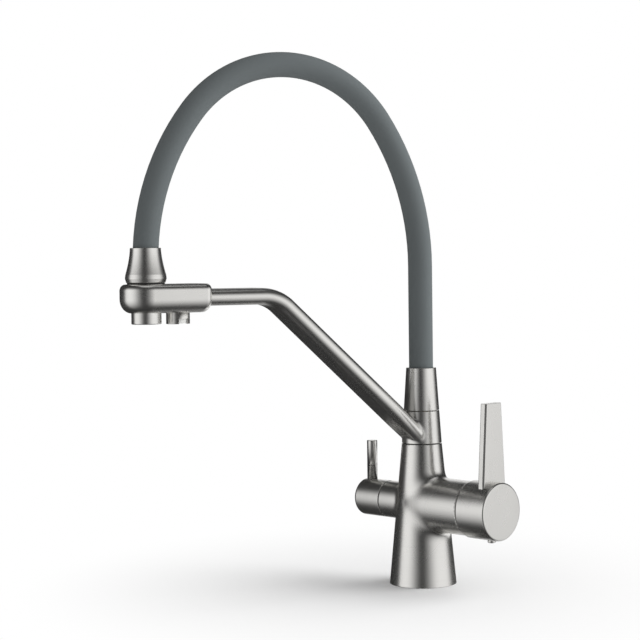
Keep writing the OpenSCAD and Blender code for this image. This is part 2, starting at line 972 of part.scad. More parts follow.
// The slot links the two ports when the knob is turned through a quarter
module filter_moving_disc() {
    slot_l = 2 * (filter_port + filter_port_r);
    color(ceramic)
        on_filter_axis()
            difference() {
                rod(filter_disc_r, filter_turn_x, spindle_x);
                translate([0, 0, filter_turn_x])
                    cube([2 * filter_port_r, slot_l, filter_disc_t], center = true);
            }
}

module filter_spindle() {
    color(brass)
        on_filter_axis() {
            rod(spindle_flange_r, spindle_x, spindle_x + spindle_flange_t);
            rod(spindle_r, spindle_x, spindle_end_x);
        }
}

module filter_knob() {
    color(nickel)
        on_filter_axis()
            difference() {
                translate([0, 0, knob_x])
                    rotate_extrude() {
                        square([knob_r - knob_edge, knob_end_x - knob_x]);
                        square([knob_r, knob_end_x - knob_x - knob_edge]);
                        translate([knob_r - knob_edge, knob_end_x - knob_x - knob_edge])
                            intersection() {
                                circle(knob_edge);
                                square(knob_edge);
                            }
                    }
                rod(knob_recess_r, knob_x - past, knob_x + knob_recess_l);
                rod(spindle_r + push_fit, knob_x, spindle_end_x);
                translate([0, 0, pin_x])
                    rotate([0, 90, 0])
                        cylinder(h = 2 * knob_r, r = pin_r + push_fit);
            }
}

// The pin is also the screw that locks the knob on the spindle
module filter_pin() {
    color(nickel)
        on_filter_axis()
            translate([spindle_r, 0, pin_x])
                rotate([0, 90, 0])
                    cylinder(h = pin_tip - spindle_r, r = pin_r);
}

// Spout

module swivel_ring() {
    color(nickel)
        difference() {
            union() {
                cone_slice(ring_z, ring_top_z - seam);
                rod(cone_r(ring_top_z) - ring_step, ring_z, ring_top_z);
                rod(neck_out_r, ring_z, spigot_flange_z);
            }
            rod(stem_r + turn_fit, ring_z - past, stem_step_z + free_gap);
            rod(stem_neck_r + turn_fit, ring_z, spigot_flange_z);
            rod(neck_in_r, ring_top_z, spigot_flange_z + past);
            on_spout_side()
                run([0, arm_root_z], arm_slope, tube_start + arm_w)
                    circle(filter_tube_r + push_fit);
        }
}

module flat_arm() {
    color(nickel)
        difference() {
            flat_along_arm(arm_w, arm_t, 0, arm_end_s);
            flat_along_arm(arm_w - 2 * arm_wall, arm_t - 2 * arm_wall, -past, arm_end_s + past);
            cone_slice(ring_z, cone_h, push_fit);
            rod(arm_w * 2, 0, ring_z + seam);
        }
}

module filter_tube() {
    color(plastic)
        difference() {
            tube_along_arm(filter_tube_r, tube_start, tube_end_s);
            tube_along_arm(filter_tube_r - filter_tube_wall, tube_start - past, tube_end_s + past);
        }
}

module hose_ferrule() {
    color(nickel)
        difference() {
            cone_slice(ring_top_z, cone_h);
            rod(neck_out_r + push_fit, ring_top_z - past, hose_foot_z);
            rod(hose_r + push_fit, ring_top_z, cone_h + past);
        }
}

module hose_spigot() {
    color(brass)
        difference() {
            union() {
                rod(stem_socket_r - turn_fit, stem_socket_z + spigot_foot_gap, spigot_flange_z + past);
                rod(neck_out_r, spigot_flange_z, hose_foot_z);
                rod(inner_bore_r, spigot_flange_z, hose_foot_z + barb_l);
            }
            rod(water_way_r, stem_socket_z - past, hose_foot_z + barb_l + past);
            tube(stem_socket_r + past, stem_socket_r - 2 * spigot_seal_r - spigot_seal_fit,
                spigot_seal_z - spigot_groove_w / 2, spigot_seal_z + spigot_groove_w / 2);
        }
}

module spigot_o_ring() {
    color(dark_rubber)
        torus(stem_socket_r - spigot_seal_r - spigot_seal_fit, spigot_seal_r, spigot_seal_z);
}

module silicone_hose() {
    color(silicone)
        difference() {
            along_hose(hose_r);
            along_hose(hose_r - hose_wall, past);
        }
}

module inner_hose() {
    color(dark_rubber)
        difference() {
            along_hose(inner_hose_r);
            along_hose(inner_bore_r, past);
        }
}

// Head

// Cross-section of the block, with its soft edges
module head_section() {
    half = head_w / 2;
    translate([-half + head_low_edge, 0])
        square([head_w - 2 * head_low_edge, head_h]);
    translate([-half, head_low_edge])
        square([head_w, head_h - head_low_edge - head_top_edge]);
    translate([-half + head_top_edge, head_low_edge])
        square([head_w - 2 * head_top_edge, head_h - head_low_edge]);
    for (side = [-1, 1]) {
        translate([side * (half - head_low_edge), head_low_edge])
            circle(head_low_edge);
        translate([side * (half - head_top_edge), head_h - head_top_edge])
            circle(head_top_edge);
    }
}

module head_form() {
    translate([0, 0, head_z])
        rotate_extrude()
            intersection() {
                head_section();
                square([head_w, head_h]);
            }
    translate([0, head_back, head_z])
        rotate([90, 0, 0])
            linear_extrude(head_back)
                head_section();
}

module head_block() {
    color(nickel)
        difference() {
            at_outlet(reach)
                difference() {
                    head_form();
                    rod(nipple_r + push_fit, head_top_z - nipple_l, head_top_z + past);
                    rod(inner_bore_r, head_z, head_top_z);
                    rod(aerator_neck_r + push_fit, head_z - past, head_z + aerator_neck_l + aerator_seal_t);
                    translate([0, outlet_pitch, 0]) {
                        rod(nozzle_neck_r + push_fit, head_z - past, head_z + nozzle_neck_l);
                        rod(water_way_r, head_z, arm_z);
                    }
                }
            on_spout_side() {
                run([head_rear_s - past, arm_z], 0, arm_socket + past)
                    flat_oval(arm_w + 2 * push_fit, arm_t + 2 * push_fit);
                run([head_rear_s, arm_z], 0, nozzle_s - head_rear_s)
                    circle(filter_tube_r + push_fit);
            }
        }
}

module head_nipple() {
    color(brass)
        at_outlet(reach)
            difference() {
                union() {
                    rod(nipple_r, head_top_z - nipple_l, bell_z);
                    rod(nipple_flange_r, bell_z, hose_end_z);
                    rod(inner_bore_r, bell_z, hose_end_z + barb_l);
                }
                rod(water_way_r, head_z, hose_end_z + barb_l + past);
            }
}

module head_washer() {
    color(dark_rubber)
        at_outlet(reach)
            tube(head_washer_r, nipple_r + push_fit, head_top_z, bell_z);
}

// Bell with a rounded foot and a long hollow flank up to the hose
module bell_nut() {
    flank_h = bell_h - bell_foot_h;
    flank_drop = bell_r - bell_top_r;
    color(nickel)
        at_outlet(reach)
            translate([0, 0, bell_z])
                difference() {
                    rotate_extrude()
                        polygon(concat(
                            [[0, 0], [bell_r - bell_foot_edge, 0], [bell_r, bell_foot_edge]],
                            [for (step = [0:bell_flank_steps])
                                let (up = step / bell_flank_steps)
                                [
                                    bell_top_r + flank_drop * pow(1 - up, bell_flare),
                                    bell_foot_h + flank_h * up
                                ]],
                            [[0, bell_h]]
                        ));
                    rod(nipple_flange_r + push_fit, -past, nipple_flange_t);
                    rod(hose_r + bell_ease, 0, bell_h + past);
                }
}

module aerator_housing() {
    color(nickel)
        at_outlet(reach)
            difference() {
                union() {
                    rod(outlet_r, head_z - outlet_l, head_z);
                    rod(aerator_neck_r, head_z - outlet_l, head_z + aerator_neck_l);
                }
                rod(aerator_bore_r, head_z - outlet_l + aerator_lip_t, head_z + aerator_neck_l + past);
                rod(aerator_bore_r - aerator_lip, head_z - outlet_l - past, head_z);
            }
}

// Flow straightener with rings of jets
module aerator_insert() {
    low_z = head_z - outlet_l + aerator_lip_t;
    color(plastic)
        at_outlet(reach)
            difference() {
                rod(aerator_bore_r - push_fit, low_z, head_z + aerator_neck_l - aerator_lip);
                rod(aerator_bore_r - insert_wall, low_z + insert_floor, head_z + aerator_neck_l);
                rod(jet_r, low_z - past, low_z + insert_floor + past);
                for (ring = [1:2])
                    jet_ring(ring, low_z);
            }
}

// One ring of jets through the floor of an insert
module jet_ring(ring, low_z) {
    jets = jets_in_ring * ring;
    for (jet = [1:jets])
        rotate([0, 0, jet * 360 / jets])
            translate([jet_pitch * ring, 0, 0])
                rod(jet_r, low_z - past, low_z + insert_floor + past);
}

module aerator_seal() {
    low_z = head_z + aerator_neck_l;
    color(dark_rubber)
        at_outlet(reach)
            tube(aerator_neck_r, aerator_bore_r - insert_wall, low_z, low_z + aerator_seal_t);
}

// Filter nozzle, with a key slot across its rim
module filter_nozzle() {
    color(nickel)
        at_outlet(nozzle_s)
            difference() {
                union() {
                    rod(nozzle_r, nozzle_z, head_z);
                    rod(nozzle_neck_r, nozzle_z, head_z + nozzle_neck_l);
                }
                rod(nozzle_skirt_r, nozzle_z - past, nozzle_shoulder_z);
                rod(nozzle_bore_r, nozzle_z - past, head_z + nozzle_neck_l - nozzle_roof);
                rod(water_way_r, nozzle_z, head_z + nozzle_neck_l + past);
                translate([0, 0, nozzle_z])
                    rotate([0, 0, key_slot_turn])
                        cube([3 * nozzle_r, key_slot_w, 2 * key_slot_h], center = true);
            }
}

// White insert that shows through the nozzle's key slot
module nozzle_insert() {
    low_z = nozzle_insert_z;
    color(plastic)
        at_outlet(nozzle_s)
            difference() {
                union() {
                    rod(nozzle_skirt_r - push_fit, low_z, nozzle_shoulder_z - push_fit);
                    rod(nozzle_bore_r - push_fit, low_z, head_z + nozzle_neck_l - nozzle_roof);
                }
                rod(nozzle_bore_r - insert_wall, low_z + insert_floor, head_z + nozzle_neck_l);
                rod(jet_r, low_z - past, low_z + insert_floor + past);
                jet_ring(1, low_z);
            }
}

body_casting();
hose_manifold();
manifold_gasket();
deck_seal();
swivel_stem();
stem_gasket();
swivel_o_rings();
thrust_washer();
swivel_washer();
stem_circlip();
cartridge_housing();
cartridge_seals();
fixed_ceramic_disc();
cartridge_nut();
trim_collar();
cartridge_carrier();
pivot_pin();
moving_ceramic_disc();
disc_driver();
lever_stem();
lever_hub();
lever_blade();
lever_cap();
lever_set_screw();
set_screw_plug();
filter_valve_body();
filter_valve_seal();
filter_fixed_disc();
filter_moving_disc();
filter_spindle();
filter_knob();
filter_pin();
swivel_ring();
flat_arm();
filter_tube();
hose_ferrule();
hose_spigot();
spigot_o_ring();
silicone_hose();
inner_hose();
head_block();
head_nipple();
head_washer();
bell_nut();
aerator_housing();
aerator_insert();
aerator_seal();
filter_nozzle();
nozzle_insert();
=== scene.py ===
"""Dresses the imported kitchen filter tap: cast and turned nickel pieces, the grey hose, the studio."""

import json
import math

import bmesh
import bpy
import numpy as np
from bpy.props import FloatProperty, FloatVectorProperty, IntProperty, PointerProperty
from mathutils import Matrix, Vector


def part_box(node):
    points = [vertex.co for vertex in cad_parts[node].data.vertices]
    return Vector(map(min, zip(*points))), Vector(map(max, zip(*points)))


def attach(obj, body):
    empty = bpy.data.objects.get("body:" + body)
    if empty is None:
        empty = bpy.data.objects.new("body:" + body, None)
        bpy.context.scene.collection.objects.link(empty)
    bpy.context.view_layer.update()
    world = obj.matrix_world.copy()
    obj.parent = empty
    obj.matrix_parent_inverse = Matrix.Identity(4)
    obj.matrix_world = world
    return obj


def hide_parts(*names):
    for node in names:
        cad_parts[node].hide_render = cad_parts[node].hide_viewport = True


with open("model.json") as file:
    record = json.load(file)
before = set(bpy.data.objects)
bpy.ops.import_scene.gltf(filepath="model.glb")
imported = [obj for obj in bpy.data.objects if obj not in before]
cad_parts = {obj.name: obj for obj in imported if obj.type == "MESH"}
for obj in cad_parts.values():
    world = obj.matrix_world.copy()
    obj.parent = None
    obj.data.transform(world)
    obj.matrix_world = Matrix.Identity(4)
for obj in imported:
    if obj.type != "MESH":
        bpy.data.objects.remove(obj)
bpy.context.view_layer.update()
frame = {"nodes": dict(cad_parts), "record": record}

bl_info = {
    "name": "Kitchen Filter Tap",
    "version": (1, 0, 0),
    "blender": (4, 5, 0),
    "location": "3D View > Sidebar > Tap",
    "description": "Builds the visible pieces and finishes of a three-way kitchen filter tap",
    "category": "Object",
}

MM = 0.001
UP = Vector((0, 0, 1))
TINY = 1e-9

# Depths and overlaps that the eye doesn't reach
SPARE = 8 * MM  # how far the seeds of the cast skins reach past their cuts
FOOT_DEPTH = 15 * MM
BORE_DEPTH = 6 * MM
RING_DEPTH = 3 * MM
OVERLAP = 1 * MM  # how far the outlets reach into the head, and the bell's bore above its foot
HOSE_END = 2 * MM  # height of the hose's end above the bell's foot
NOZZLE_ROOF = 1.5 * MM  # depth of the nozzle's roof under the head

# Shares and small edges of the turned pieces
KNOB_RECESS = 0.75  # of the knob's radius
BELL_WIDEST = 0.7  # of the height of the bell's foot
BELL_FOOT_EDGE = 3 * MM
BELL_FLANK_EDGE = 0.8 * MM
LIP_SIDES, LIP_SECTION_SIDES = 16, 8

# How a cast skin settles on its field, and how its forms fade
SETTLE_STEPS = 14
LEAST_SLOPE = 0.05
FAR = 1.0  # a distance past every piece
CORNER_FADE = 1.5  # power by which a blend fades in narrow corners
NECK_FADE = 1.5  # power by which the arm's edges draw in towards its root

# Steps of the curved lines
BEND_STEPS, CROWN_STEPS, LEAST_STEP = 14, 40, 0.1 * MM
NOSE_STEPS, CORNER_STEPS = 48, 12


# Places and sizes that come from the frame, in metres

def low(node):
    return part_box(node)[0]


def high(node):
    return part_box(node)[1]


def middle(node):
    return (low(node) + high(node)) / 2


def half_width(node):
    return (high(node).x - low(node).x) / 2


def joint_place(name):
    joints = frame["record"]["behaviour"]["joints"]
    return next(Vector(joint["pos_m"]) for joint in joints if joint["name"] == name)


base_r = high("body_casting").y
body_h = high("body_casting").z
mixer_end_x = high("body_casting").x
knob_seam_x = -low("body_casting").x
valve_z = middle("lever_cap").z
hub_r = high("lever_cap").z - valve_z
hub_x = low("lever_cap").x
cap_x = high("lever_cap").x
pivot_x = joint_place("lever_tilt").x
ring_z = low("swivel_ring").z
ring_top_z = low("hose_ferrule").z
cone_top_z = high("hose_ferrule").z
ring_r = high("swivel_ring").x
body_taper = (base_r - ring_r) / ring_z
neck_taper = (ring_r - high("hose_ferrule").x) / (ring_top_z - ring_z)
outlet_at = middle("head_washer")
reach = math.hypot(outlet_at.x, outlet_at.y)
head_z = low("head_block").z
head_top_z = high("head_block").z
bell_z = low("bell_nut").z
bell_h = high("bell_nut").z - bell_z

# Directions of the spout: outwards along the arm, and across it
along = Vector((outlet_at.x, outlet_at.y, 0)) / reach
across = Vector((-along.y, along.x, 0))

# Frames of the turned pieces: their own z runs along the axis
on_deck = Matrix.Identity(4)
on_mixer = Matrix(((0, 0, 1, 0), (0, 1, 0, 0), (-1, 0, 0, valve_z), (0, 0, 0, 1)))
on_filter = Matrix(((0, 0, -1, 0), (0, 1, 0, 0), (1, 0, 0, valve_z), (0, 0, 0, 1)))


def at_outlet(s):
    return Matrix.Translation(along * s)


def body_r(z):
    return base_r - body_taper * z


def neck_r(z):
    return ring_r - neck_taper * (z - ring_z)


def length(name, default, description):
    return FloatProperty(name=name, description=description, default=default * MM, min=0,
                         subtype="DISTANCE", unit="LENGTH")


def turn(name, default, description):
    return FloatProperty(name=name, description=description, default=math.radians(default),
                         subtype="ANGLE", unit="ROTATION")


def fraction(name, default, description):
    return FloatProperty(name=name, description=description, default=default, min=0, max=1)


def colour(name, default, description):
    return FloatVectorProperty(name=name, description=description, default=default, min=0, max=1,
                               size=3, subtype="COLOR")


class TapBodySizes(bpy.types.PropertyGroup):
    """Sizes of the cast body and of the turned pieces on its two valves"""
    edge: length("Edge", 0.35, "Radius of the small edges of the turned pieces")
    seam_edge: length("Seam edge", 0.6, "Radius of the edges along the seams of the two valves")
    cell: length("Skin cell", 1.0, "Cell of the cast skins")
    fillet: length("Mixer blend", 9.0, "Reach of the cast blend between cone and mixer tube")
    filter_fillet: length("Filter blend", 3.5, "Reach of the cast blend between cone and filter tube")
    mixer_r: length("Mixer tube", 21.8, "Radius of the mixer tube")
    mixer_fade_x: length("Mixer fade", 18.0, "Distance from the axis where the tube's root begins to narrow")
    mixer_fade_l: length("Mixer fade length", 345.0, "How slowly the root of the mixer tube narrows")
    mixer_root_l: length("Mixer root length", 12.9, "How slowly the root dives into the cone beyond the axis")
    stem_r: length("Stem", 11.05, "Radius of the hole for the swivel stem")
    foot_wall: length("Foot wall", 4.6, "Wall round the manifold in the foot")
    seal_w: length("Deck seal groove", 1.7, "Width of the groove for the deck seal")
    cartridge_r: length("Cartridge bore", 17.7, "Radius of the mixer tube's bore")
    filter_bore_r: length("Filter bore", 10.0, "Radius of the filter tube's bore")


class TapLeverSizes(bpy.types.PropertyGroup):
    """Sizes of the collar, the mixer lever and the filter knob"""
    seam: length("Seam", 0.4, "Gap between neighbouring turned pieces")
    hub_gap: length("Hub gap", 1.6, "Gap behind the hub, through which the rim of the collar shows")
    collar_l: length("Collar", 0.6, "Length of the trim collar's rim")
    collar_recess: length("Collar recess", 1.5, "Depth of the trim collar under the hub's surface")
    collar_wall: length("Collar wall", 5.6, "Wall of the trim collar")
    boss_r: length("Boss", 7.0, "Radius of the boss inside the hub")
    boss_l: length("Boss length", 14.2, "Length of the boss inside the hub")
    cap_edge: length("Cap edge", 1.6, "Radius of the lever cap's front edge")
    blade_t: length("Blade thickness", 6.4, "Thickness of the lever blade")
    blade_root_w: length("Blade root", 27.2, "Width of the lever blade at the hub")
    blade_tip_w: length("Blade tip", 19.3, "Width of the lever blade at its tip")
    blade_bevel: length("Blade bevel", 1.3, "Width of the bevel along the blade's upright edges")
    blade_edge: length("Blade edge", 0.25, "Radius of the blade's small edges")
    lip_r: length("Screw lip", 3.2, "Radius of the lip round the set screw")
    lip_out: length("Screw lip height", 2.0, "Height of the lip below the hub")
    knob_edge: length("Knob edge", 3.0, "Radius of the knob's end edge")
    pin_edge: length("Pin edge", 0.6, "Radius of the pin's tip edge")


class TapSpoutSizes(bpy.types.PropertyGroup):
    """Sizes of the swivel ring, the flat arm, the hose and the head"""
    arm_w: length("Arm width", 33.5, "Width of the flat arm")
    arm_t: length("Arm thickness", 12.8, "Thickness of the flat arm")
    arm_slope: turn("Arm slope", 42.7, "Slope of the arm's rising run")
    arm_root: length("Arm root", 0.6, "Height above the body at which the rising run meets the axis")
    arm_bend_r: length("Arm bend", 32.0, "Radius of the arm's bend")
    arm_in_head: length("Arm in head", 11.2, "Height of the arm's centre line in the head")
    arm_socket: length("Arm socket", 8.0, "Length of the arm inside the head")
    weld: length("Weld", 2.5, "Reach of the blend between arm and ring")
    arm_neck: length("Arm neck", 3.2, "How much each edge of the arm draws in at its root")
    arm_neck_l: length("Arm neck length", 28.0, "Distance over which the arm draws in")
    hose_r: length("Hose", 9.75, "Outer radius of the hose")
    first_bend_r: length("First bend", 202.0, "Radius of the hose's first bend")
    first_bend_turn: turn("First turn", 35.0, "Turn of the hose's first bend")
    last_bend_r: length("Last bend", 184.0, "Radius of the hose's last bend")
    last_bend_turn: turn("Last turn", 38.0, "Turn of the hose's last bend")
    bend_in_bell: length("Bend in bell", 9.4, "Depth inside the bell at which the last bend ends")
    hose_sides: IntProperty(name="Hose sides", description="Sides of the hose's section", default=64, min=12)
    bell_top_r: length("Bell top", 11.7, "Radius of the bell nut at the hose")
    bell_foot_h: length("Bell foot", 5.0, "Height of the bell nut's foot")
    bell_flare: FloatProperty(name="Bell flare", description="Power of the bell's hollow flank",
                              default=1.6, min=1)
    head_w: length("Head width", 40.0, "Width of the head block")
    head_back: length("Head length", 47.0, "Length of the block behind the main outlet")
    head_low_edge: length("Head low edge", 10.5, "Radius of the block's lower edge")
    head_top_edge: length("Head top edge", 5.0, "Radius of the block's upper edge")
    head_corner: length("Head corner", 5.0, "Radius of the block's two rear corners")
    head_rear_share: fraction("Rear edge share", 0.4, "Share of the edge radius kept at the rear")
    head_nose_share: fraction("Nose edge share", 0.82, "Share of the edge radius kept at the nose")
    outlet_pitch: length("Outlet pitch", 25.3, "Distance between the two outlets")
    outlet_bore_r: length("Outlet bore", 7.6, "Radius of the main outlet's mouth")
    nozzle_wall: length("Nozzle wall", 1.5, "Wall of the filter nozzle's skirt")
    key_slot_w: length("Key slot", 8.0, "Width of the key slot across the nozzle")
    key_slot_h: length("Key slot height", 3.9, "Height of the key slot across the nozzle")
    key_slot_turn: turn("Key slot turn", 10.0, "Turn of the key slot from straight across the head")
    jets: IntProperty(name="Jets", description="Jets in the first ring", default=6, min=3)
    jet_pitch: length("Jet pitch", 2.7, "Distance between the rings of jets")
    jet_lip_r: length("Jet lip", 0.8, "Radius of the lip round each jet")
    jet_lip_t: length("Jet lip thickness", 0.22, "Radius of the lip's section")


class TapFinishes(bpy.types.PropertyGroup):
    """Colours of the finishes"""
    nickel: colour("Nickel", (0.82, 0.81, 0.785), "Brushed nickel")
    steel: colour("Steel", (0.55, 0.56, 0.57), "Turned stainless steel")
    brass: colour("Brass", (0.72, 0.56, 0.27), "Machined brass")
    silicone: colour("Silicone", (0.122, 0.136, 0.143), "Grey silicone of the hose")
    rubber: colour("Rubber", (0.03, 0.03, 0.03), "Black rubber of seals and washers")
    ceramic: colour("Ceramic", (0.88, 0.87, 0.83), "White ceramic of the valve discs")
    plastic: colour("Plastic", (0.82, 0.82, 0.80), "White plastic of inserts and cartridge")


class TapStudio(bpy.types.PropertyGroup):
    """Camera, light and backdrop"""
    lens: FloatProperty(name="Lens", description="Focal length in millimetres", default=96.75,
                        subtype="DISTANCE_CAMERA")
    camera_heading: turn("Camera heading", -47.7, "Heading of the camera, seen from the tap")
    camera_roll: turn("Camera roll", -0.69, "Roll of the camera")
    fill: FloatProperty(name="Fill", description="Level of the even light on matt surfaces",
                        default=0.55, min=0)
    box_power: FloatProperty(name="Soft box", description="Power of the soft box in watts",
                             default=62.0, min=0)
    box_heading: turn("Soft box heading", 95.0, "Turn of the soft box from the camera")
    paper: colour("Paper", (0.95, 0.95, 0.95), "Pale floor")
    card: colour("Card", (0.035, 0.035, 0.035), "Dark dome that the metal reflects")


# Shells: points, exact normals and faces of one closed skin

def rounded(corners, steps=6):
    """Points and outward normals of an open profile of (radius, height, corner radius) corners."""
    spots = [np.array(corner[:2], float) for corner in corners]
    points, normals = [], []
    for k, spot in enumerate(spots):
        before = spot - spots[k - 1] if k else None
        after = spots[k + 1] - spot if k + 1 < len(spots) else None
        before = after if before is None else before
        after = before if after is None else after
        before, after = before / np.linalg.norm(before), after / np.linalg.norm(after)
        side_in = np.array((before[1], -before[0]))
        bend = math.atan2(before[0] * after[1] - before[1] * after[0], float(before @ after))
        edge = corners[k][2]
        if not edge or abs(bend) < TINY:
            points.append(spot)
            normals.append(side_in)
            continue
        start = spot - before * edge * math.tan(abs(bend) / 2)
        inward = -math.copysign(edge, bend)
        centre = start + side_in * inward
        for step in range(steps + 1):
            angle = bend * step / steps
            side = np.array((side_in[0] * math.cos(angle) - side_in[1] * math.sin(angle),
                             side_in[0] * math.sin(angle) + side_in[1] * math.cos(angle)))
            points.append(centre - side * inward)
            normals.append(side)
    return np.array(points), np.array(normals)


def rod(first_r, start, last_r, end, edge=0):
    """Profile of a rod or cone with flat ends, rounded at its last edge."""
    return rounded([(0, start, 0), (first_r, start, 0), (last_r, end, edge), (0, end, 0)])


class Shell:
    """One closed skin in the making."""

    def __init__(self):
        self.points, self.normals, self.faces = [], [], []

    def add(self, points, normals, faces):
        start = len(self.points)
        self.points += [Vector(point) for point in points]
        self.normals += [Vector(normal).normalized() for normal in normals]
        self.faces += [[start + corner for corner in face] for face in faces]

    def lathe(self, profile, place=on_deck, sides=128):
        """Turns a profile of points and normals about the z axis of a frame."""
        turned = place.to_3x3()
        points, normals, faces, rings = [], [], [], []
        for (r, h), (normal_r, normal_h) in zip(*profile):
            count = 1 if r < TINY else sides
            rings.append(range(len(points), len(points) + count))
            for k in range(count):
                angle = math.tau * k / sides
                away = Vector((math.cos(angle), math.sin(angle), 0))
                points.append(place @ (away * r + UP * h))
                normals.append(turned @ (away * (normal_r if count > 1 else 0) + UP * normal_h))
        for lower, upper in zip(rings, rings[1:]):
            for k in range(sides):
                a, b = k, (k + 1) % sides
                loop = [lower[a % len(lower)], lower[b % len(lower)],
                        upper[b % len(upper)], upper[a % len(upper)]]
                faces.append(list(dict.fromkeys(loop)))
        self.add(points, normals, faces)

    def mesh(self, name):
        made = bpy.data.meshes.new(name)
        made.from_pydata(self.points, [], self.faces)
        made.polygons.foreach_set("use_smooth", [True] * len(made.polygons))
        made.normals_split_custom_set_from_vertices(self.normals)
        made.update()
        return made


def finish_piece(name, mesh, material, body, nodes=()):
    """Makes the object of a finished mesh, rides it on its body and lets it stand for its nodes."""
    piece = bpy.data.objects.new(name, mesh)
    bpy.context.scene.collection.objects.link(piece)
    mesh.materials.clear()
    mesh.materials.append(material)
    if nodes:
        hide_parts(*nodes)
    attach(piece, body)
    return piece


def finish_shell(name, shell, finish, body, *nodes):
    """Finishes a shell as the nickel piece that stands for its nodes."""
    return finish_piece(name, shell.mesh(name), finish_of(finish), body, nodes)


# Cast skins: a field of distances, a voxel skin that settles on it, and lips at its cut ends

def gradient(field, points, step=0.02 * MM):
    slopes = [(field(points + shift) - field(points - shift)) / (2 * step) for shift in np.eye(3) * step]
    return np.stack(slopes, axis=1)


def unit(vectors):
    return vectors / np.maximum(np.linalg.norm(vectors, axis=1), TINY)[:, None]


def blended(first, second, reach_out):
    """Joins two fields smoothly. The blend reaches out evenly from their seam and fades in narrow corners."""
    def field(points):
        a, b = first(points), second(points)
        facing = (unit(gradient(first, points)) * unit(gradient(second, points))).sum(axis=1)
        width = reach_out * np.sqrt(2 * np.clip(1 - facing, 0, 1)) * np.clip(1 + facing, 0, 1) ** CORNER_FADE
        share = np.maximum(width - np.abs(a - b), 0) / np.maximum(width, TINY)
        return np.minimum(a, b) - share ** 3 * width / 6  # a cubic smooth minimum

    return field


def body_field(points):
    return (np.hypot(points[:, 0], points[:, 1]) - body_r(points[:, 2])) / math.hypot(1, body_taper)


def neck_field(points):
    return (np.hypot(points[:, 0], points[:, 1]) - neck_r(points[:, 2])) / math.hypot(1, neck_taper)


class Cut:
    """An end of a cast skin: a plane, and the lip that closes it. Lip corners are (inset, depth, radius)."""

    def __init__(self, place, outward, edge, lip, near=None):
        self.outward = Vector(outward)
        self.plane = Vector(place) - self.outward * edge
        self.near = near
        corners = [(0, 0, 0), (0, edge, edge)]
        corners += [(-inset, edge - depth, radius) for inset, depth, radius in lip]
        self.profile = rounded(corners)


def cast_skin(name, seeds, field, cell, cuts):
    """A mesh that wraps the seeds, lies on the field's surface and ends at the cuts."""
    seed = bpy.data.objects.new(name, seeds.mesh(name))
    bpy.context.scene.collection.objects.link(seed)
    wrap = seed.modifiers.new("wrap", "REMESH")
    wrap.mode = "VOXEL"
    wrap.voxel_size = cell
    skin = bmesh.new()
    graph = bpy.context.evaluated_depsgraph_get()
    skin.from_mesh(seed.evaluated_get(graph).to_mesh())
    bpy.data.objects.remove(seed)
    points = np.array([vertex.co for vertex in skin.verts])
    for _ in range(SETTLE_STEPS):
        slope = gradient(field, points)
        steepness = np.maximum((slope ** 2).sum(axis=1), LEAST_SLOPE)
        points = points - slope * (field(points) / steepness)[:, None]
    for vertex, point in zip(skin.verts, points):
        vertex.co = point
    loops = []
    for cut in cuts:
        faces = [face for face in skin.faces if cut.near is None or cut.near(face.calc_center_median())]
        parts = [*faces, *(edge for face in faces for edge in face.edges),
                 *(vertex for face in faces for vertex in face.verts)]
        made = bmesh.ops.bisect_plane(skin, geom=list(dict.fromkeys(parts)), plane_co=cut.plane,
                                      plane_no=cut.outward, clear_outer=True)
        loops.append([part for part in made["geom_cut"] if isinstance(part, bmesh.types.BMEdge)])
    true_normal = skin.verts.layers.float_vector.new("true_normal")
    normals = unit(gradient(field, np.array([vertex.co for vertex in skin.verts])))
    for vertex, normal in zip(skin.verts, normals):
        vertex[true_normal] = normal
    for cut, loop in zip(cuts, loops):
        close_cut(skin, cut, loop, true_normal)
    bmesh.ops.recalc_face_normals(skin, faces=skin.faces)
    mesh = bpy.data.meshes.new(name)
    skin.to_mesh(mesh)
    mesh.polygons.foreach_set("use_smooth", [True] * len(mesh.polygons))
    mesh.normals_split_custom_set_from_vertices([vertex[true_normal].normalized() for vertex in skin.verts])
    mesh.attributes.remove(mesh.attributes["true_normal"])
    skin.free()
    return mesh


def close_cut(skin, cut, loop, true_normal):
    """Draws the lip from the cut's loop inwards and fills its last ring."""
    places, normals = cut.profile
    centre = sum((vertex.co for edge in loop for vertex in edge.verts), Vector()) / (2 * len(loop))
    for before, place, normal in zip(places, places[1:], normals[1:]):
        made = bmesh.ops.extrude_edge_only(skin, edges=loop)["geom"]
        loop = [part for part in made if isinstance(part, bmesh.types.BMEdge)]
        for vertex in (part for part in made if isinstance(part, bmesh.types.BMVert)):
            away = vertex.co - centre
            away -= cut.outward * away.dot(cut.outward)
            away.normalize()
            vertex.co += away * (place[0] - before[0]) + cut.outward * (place[1] - before[1])
            vertex[true_normal] = away * normal[0] + cut.outward * normal[1]
    bmesh.ops.holes_fill(skin, edges=loop, sides=0)


# Finishes

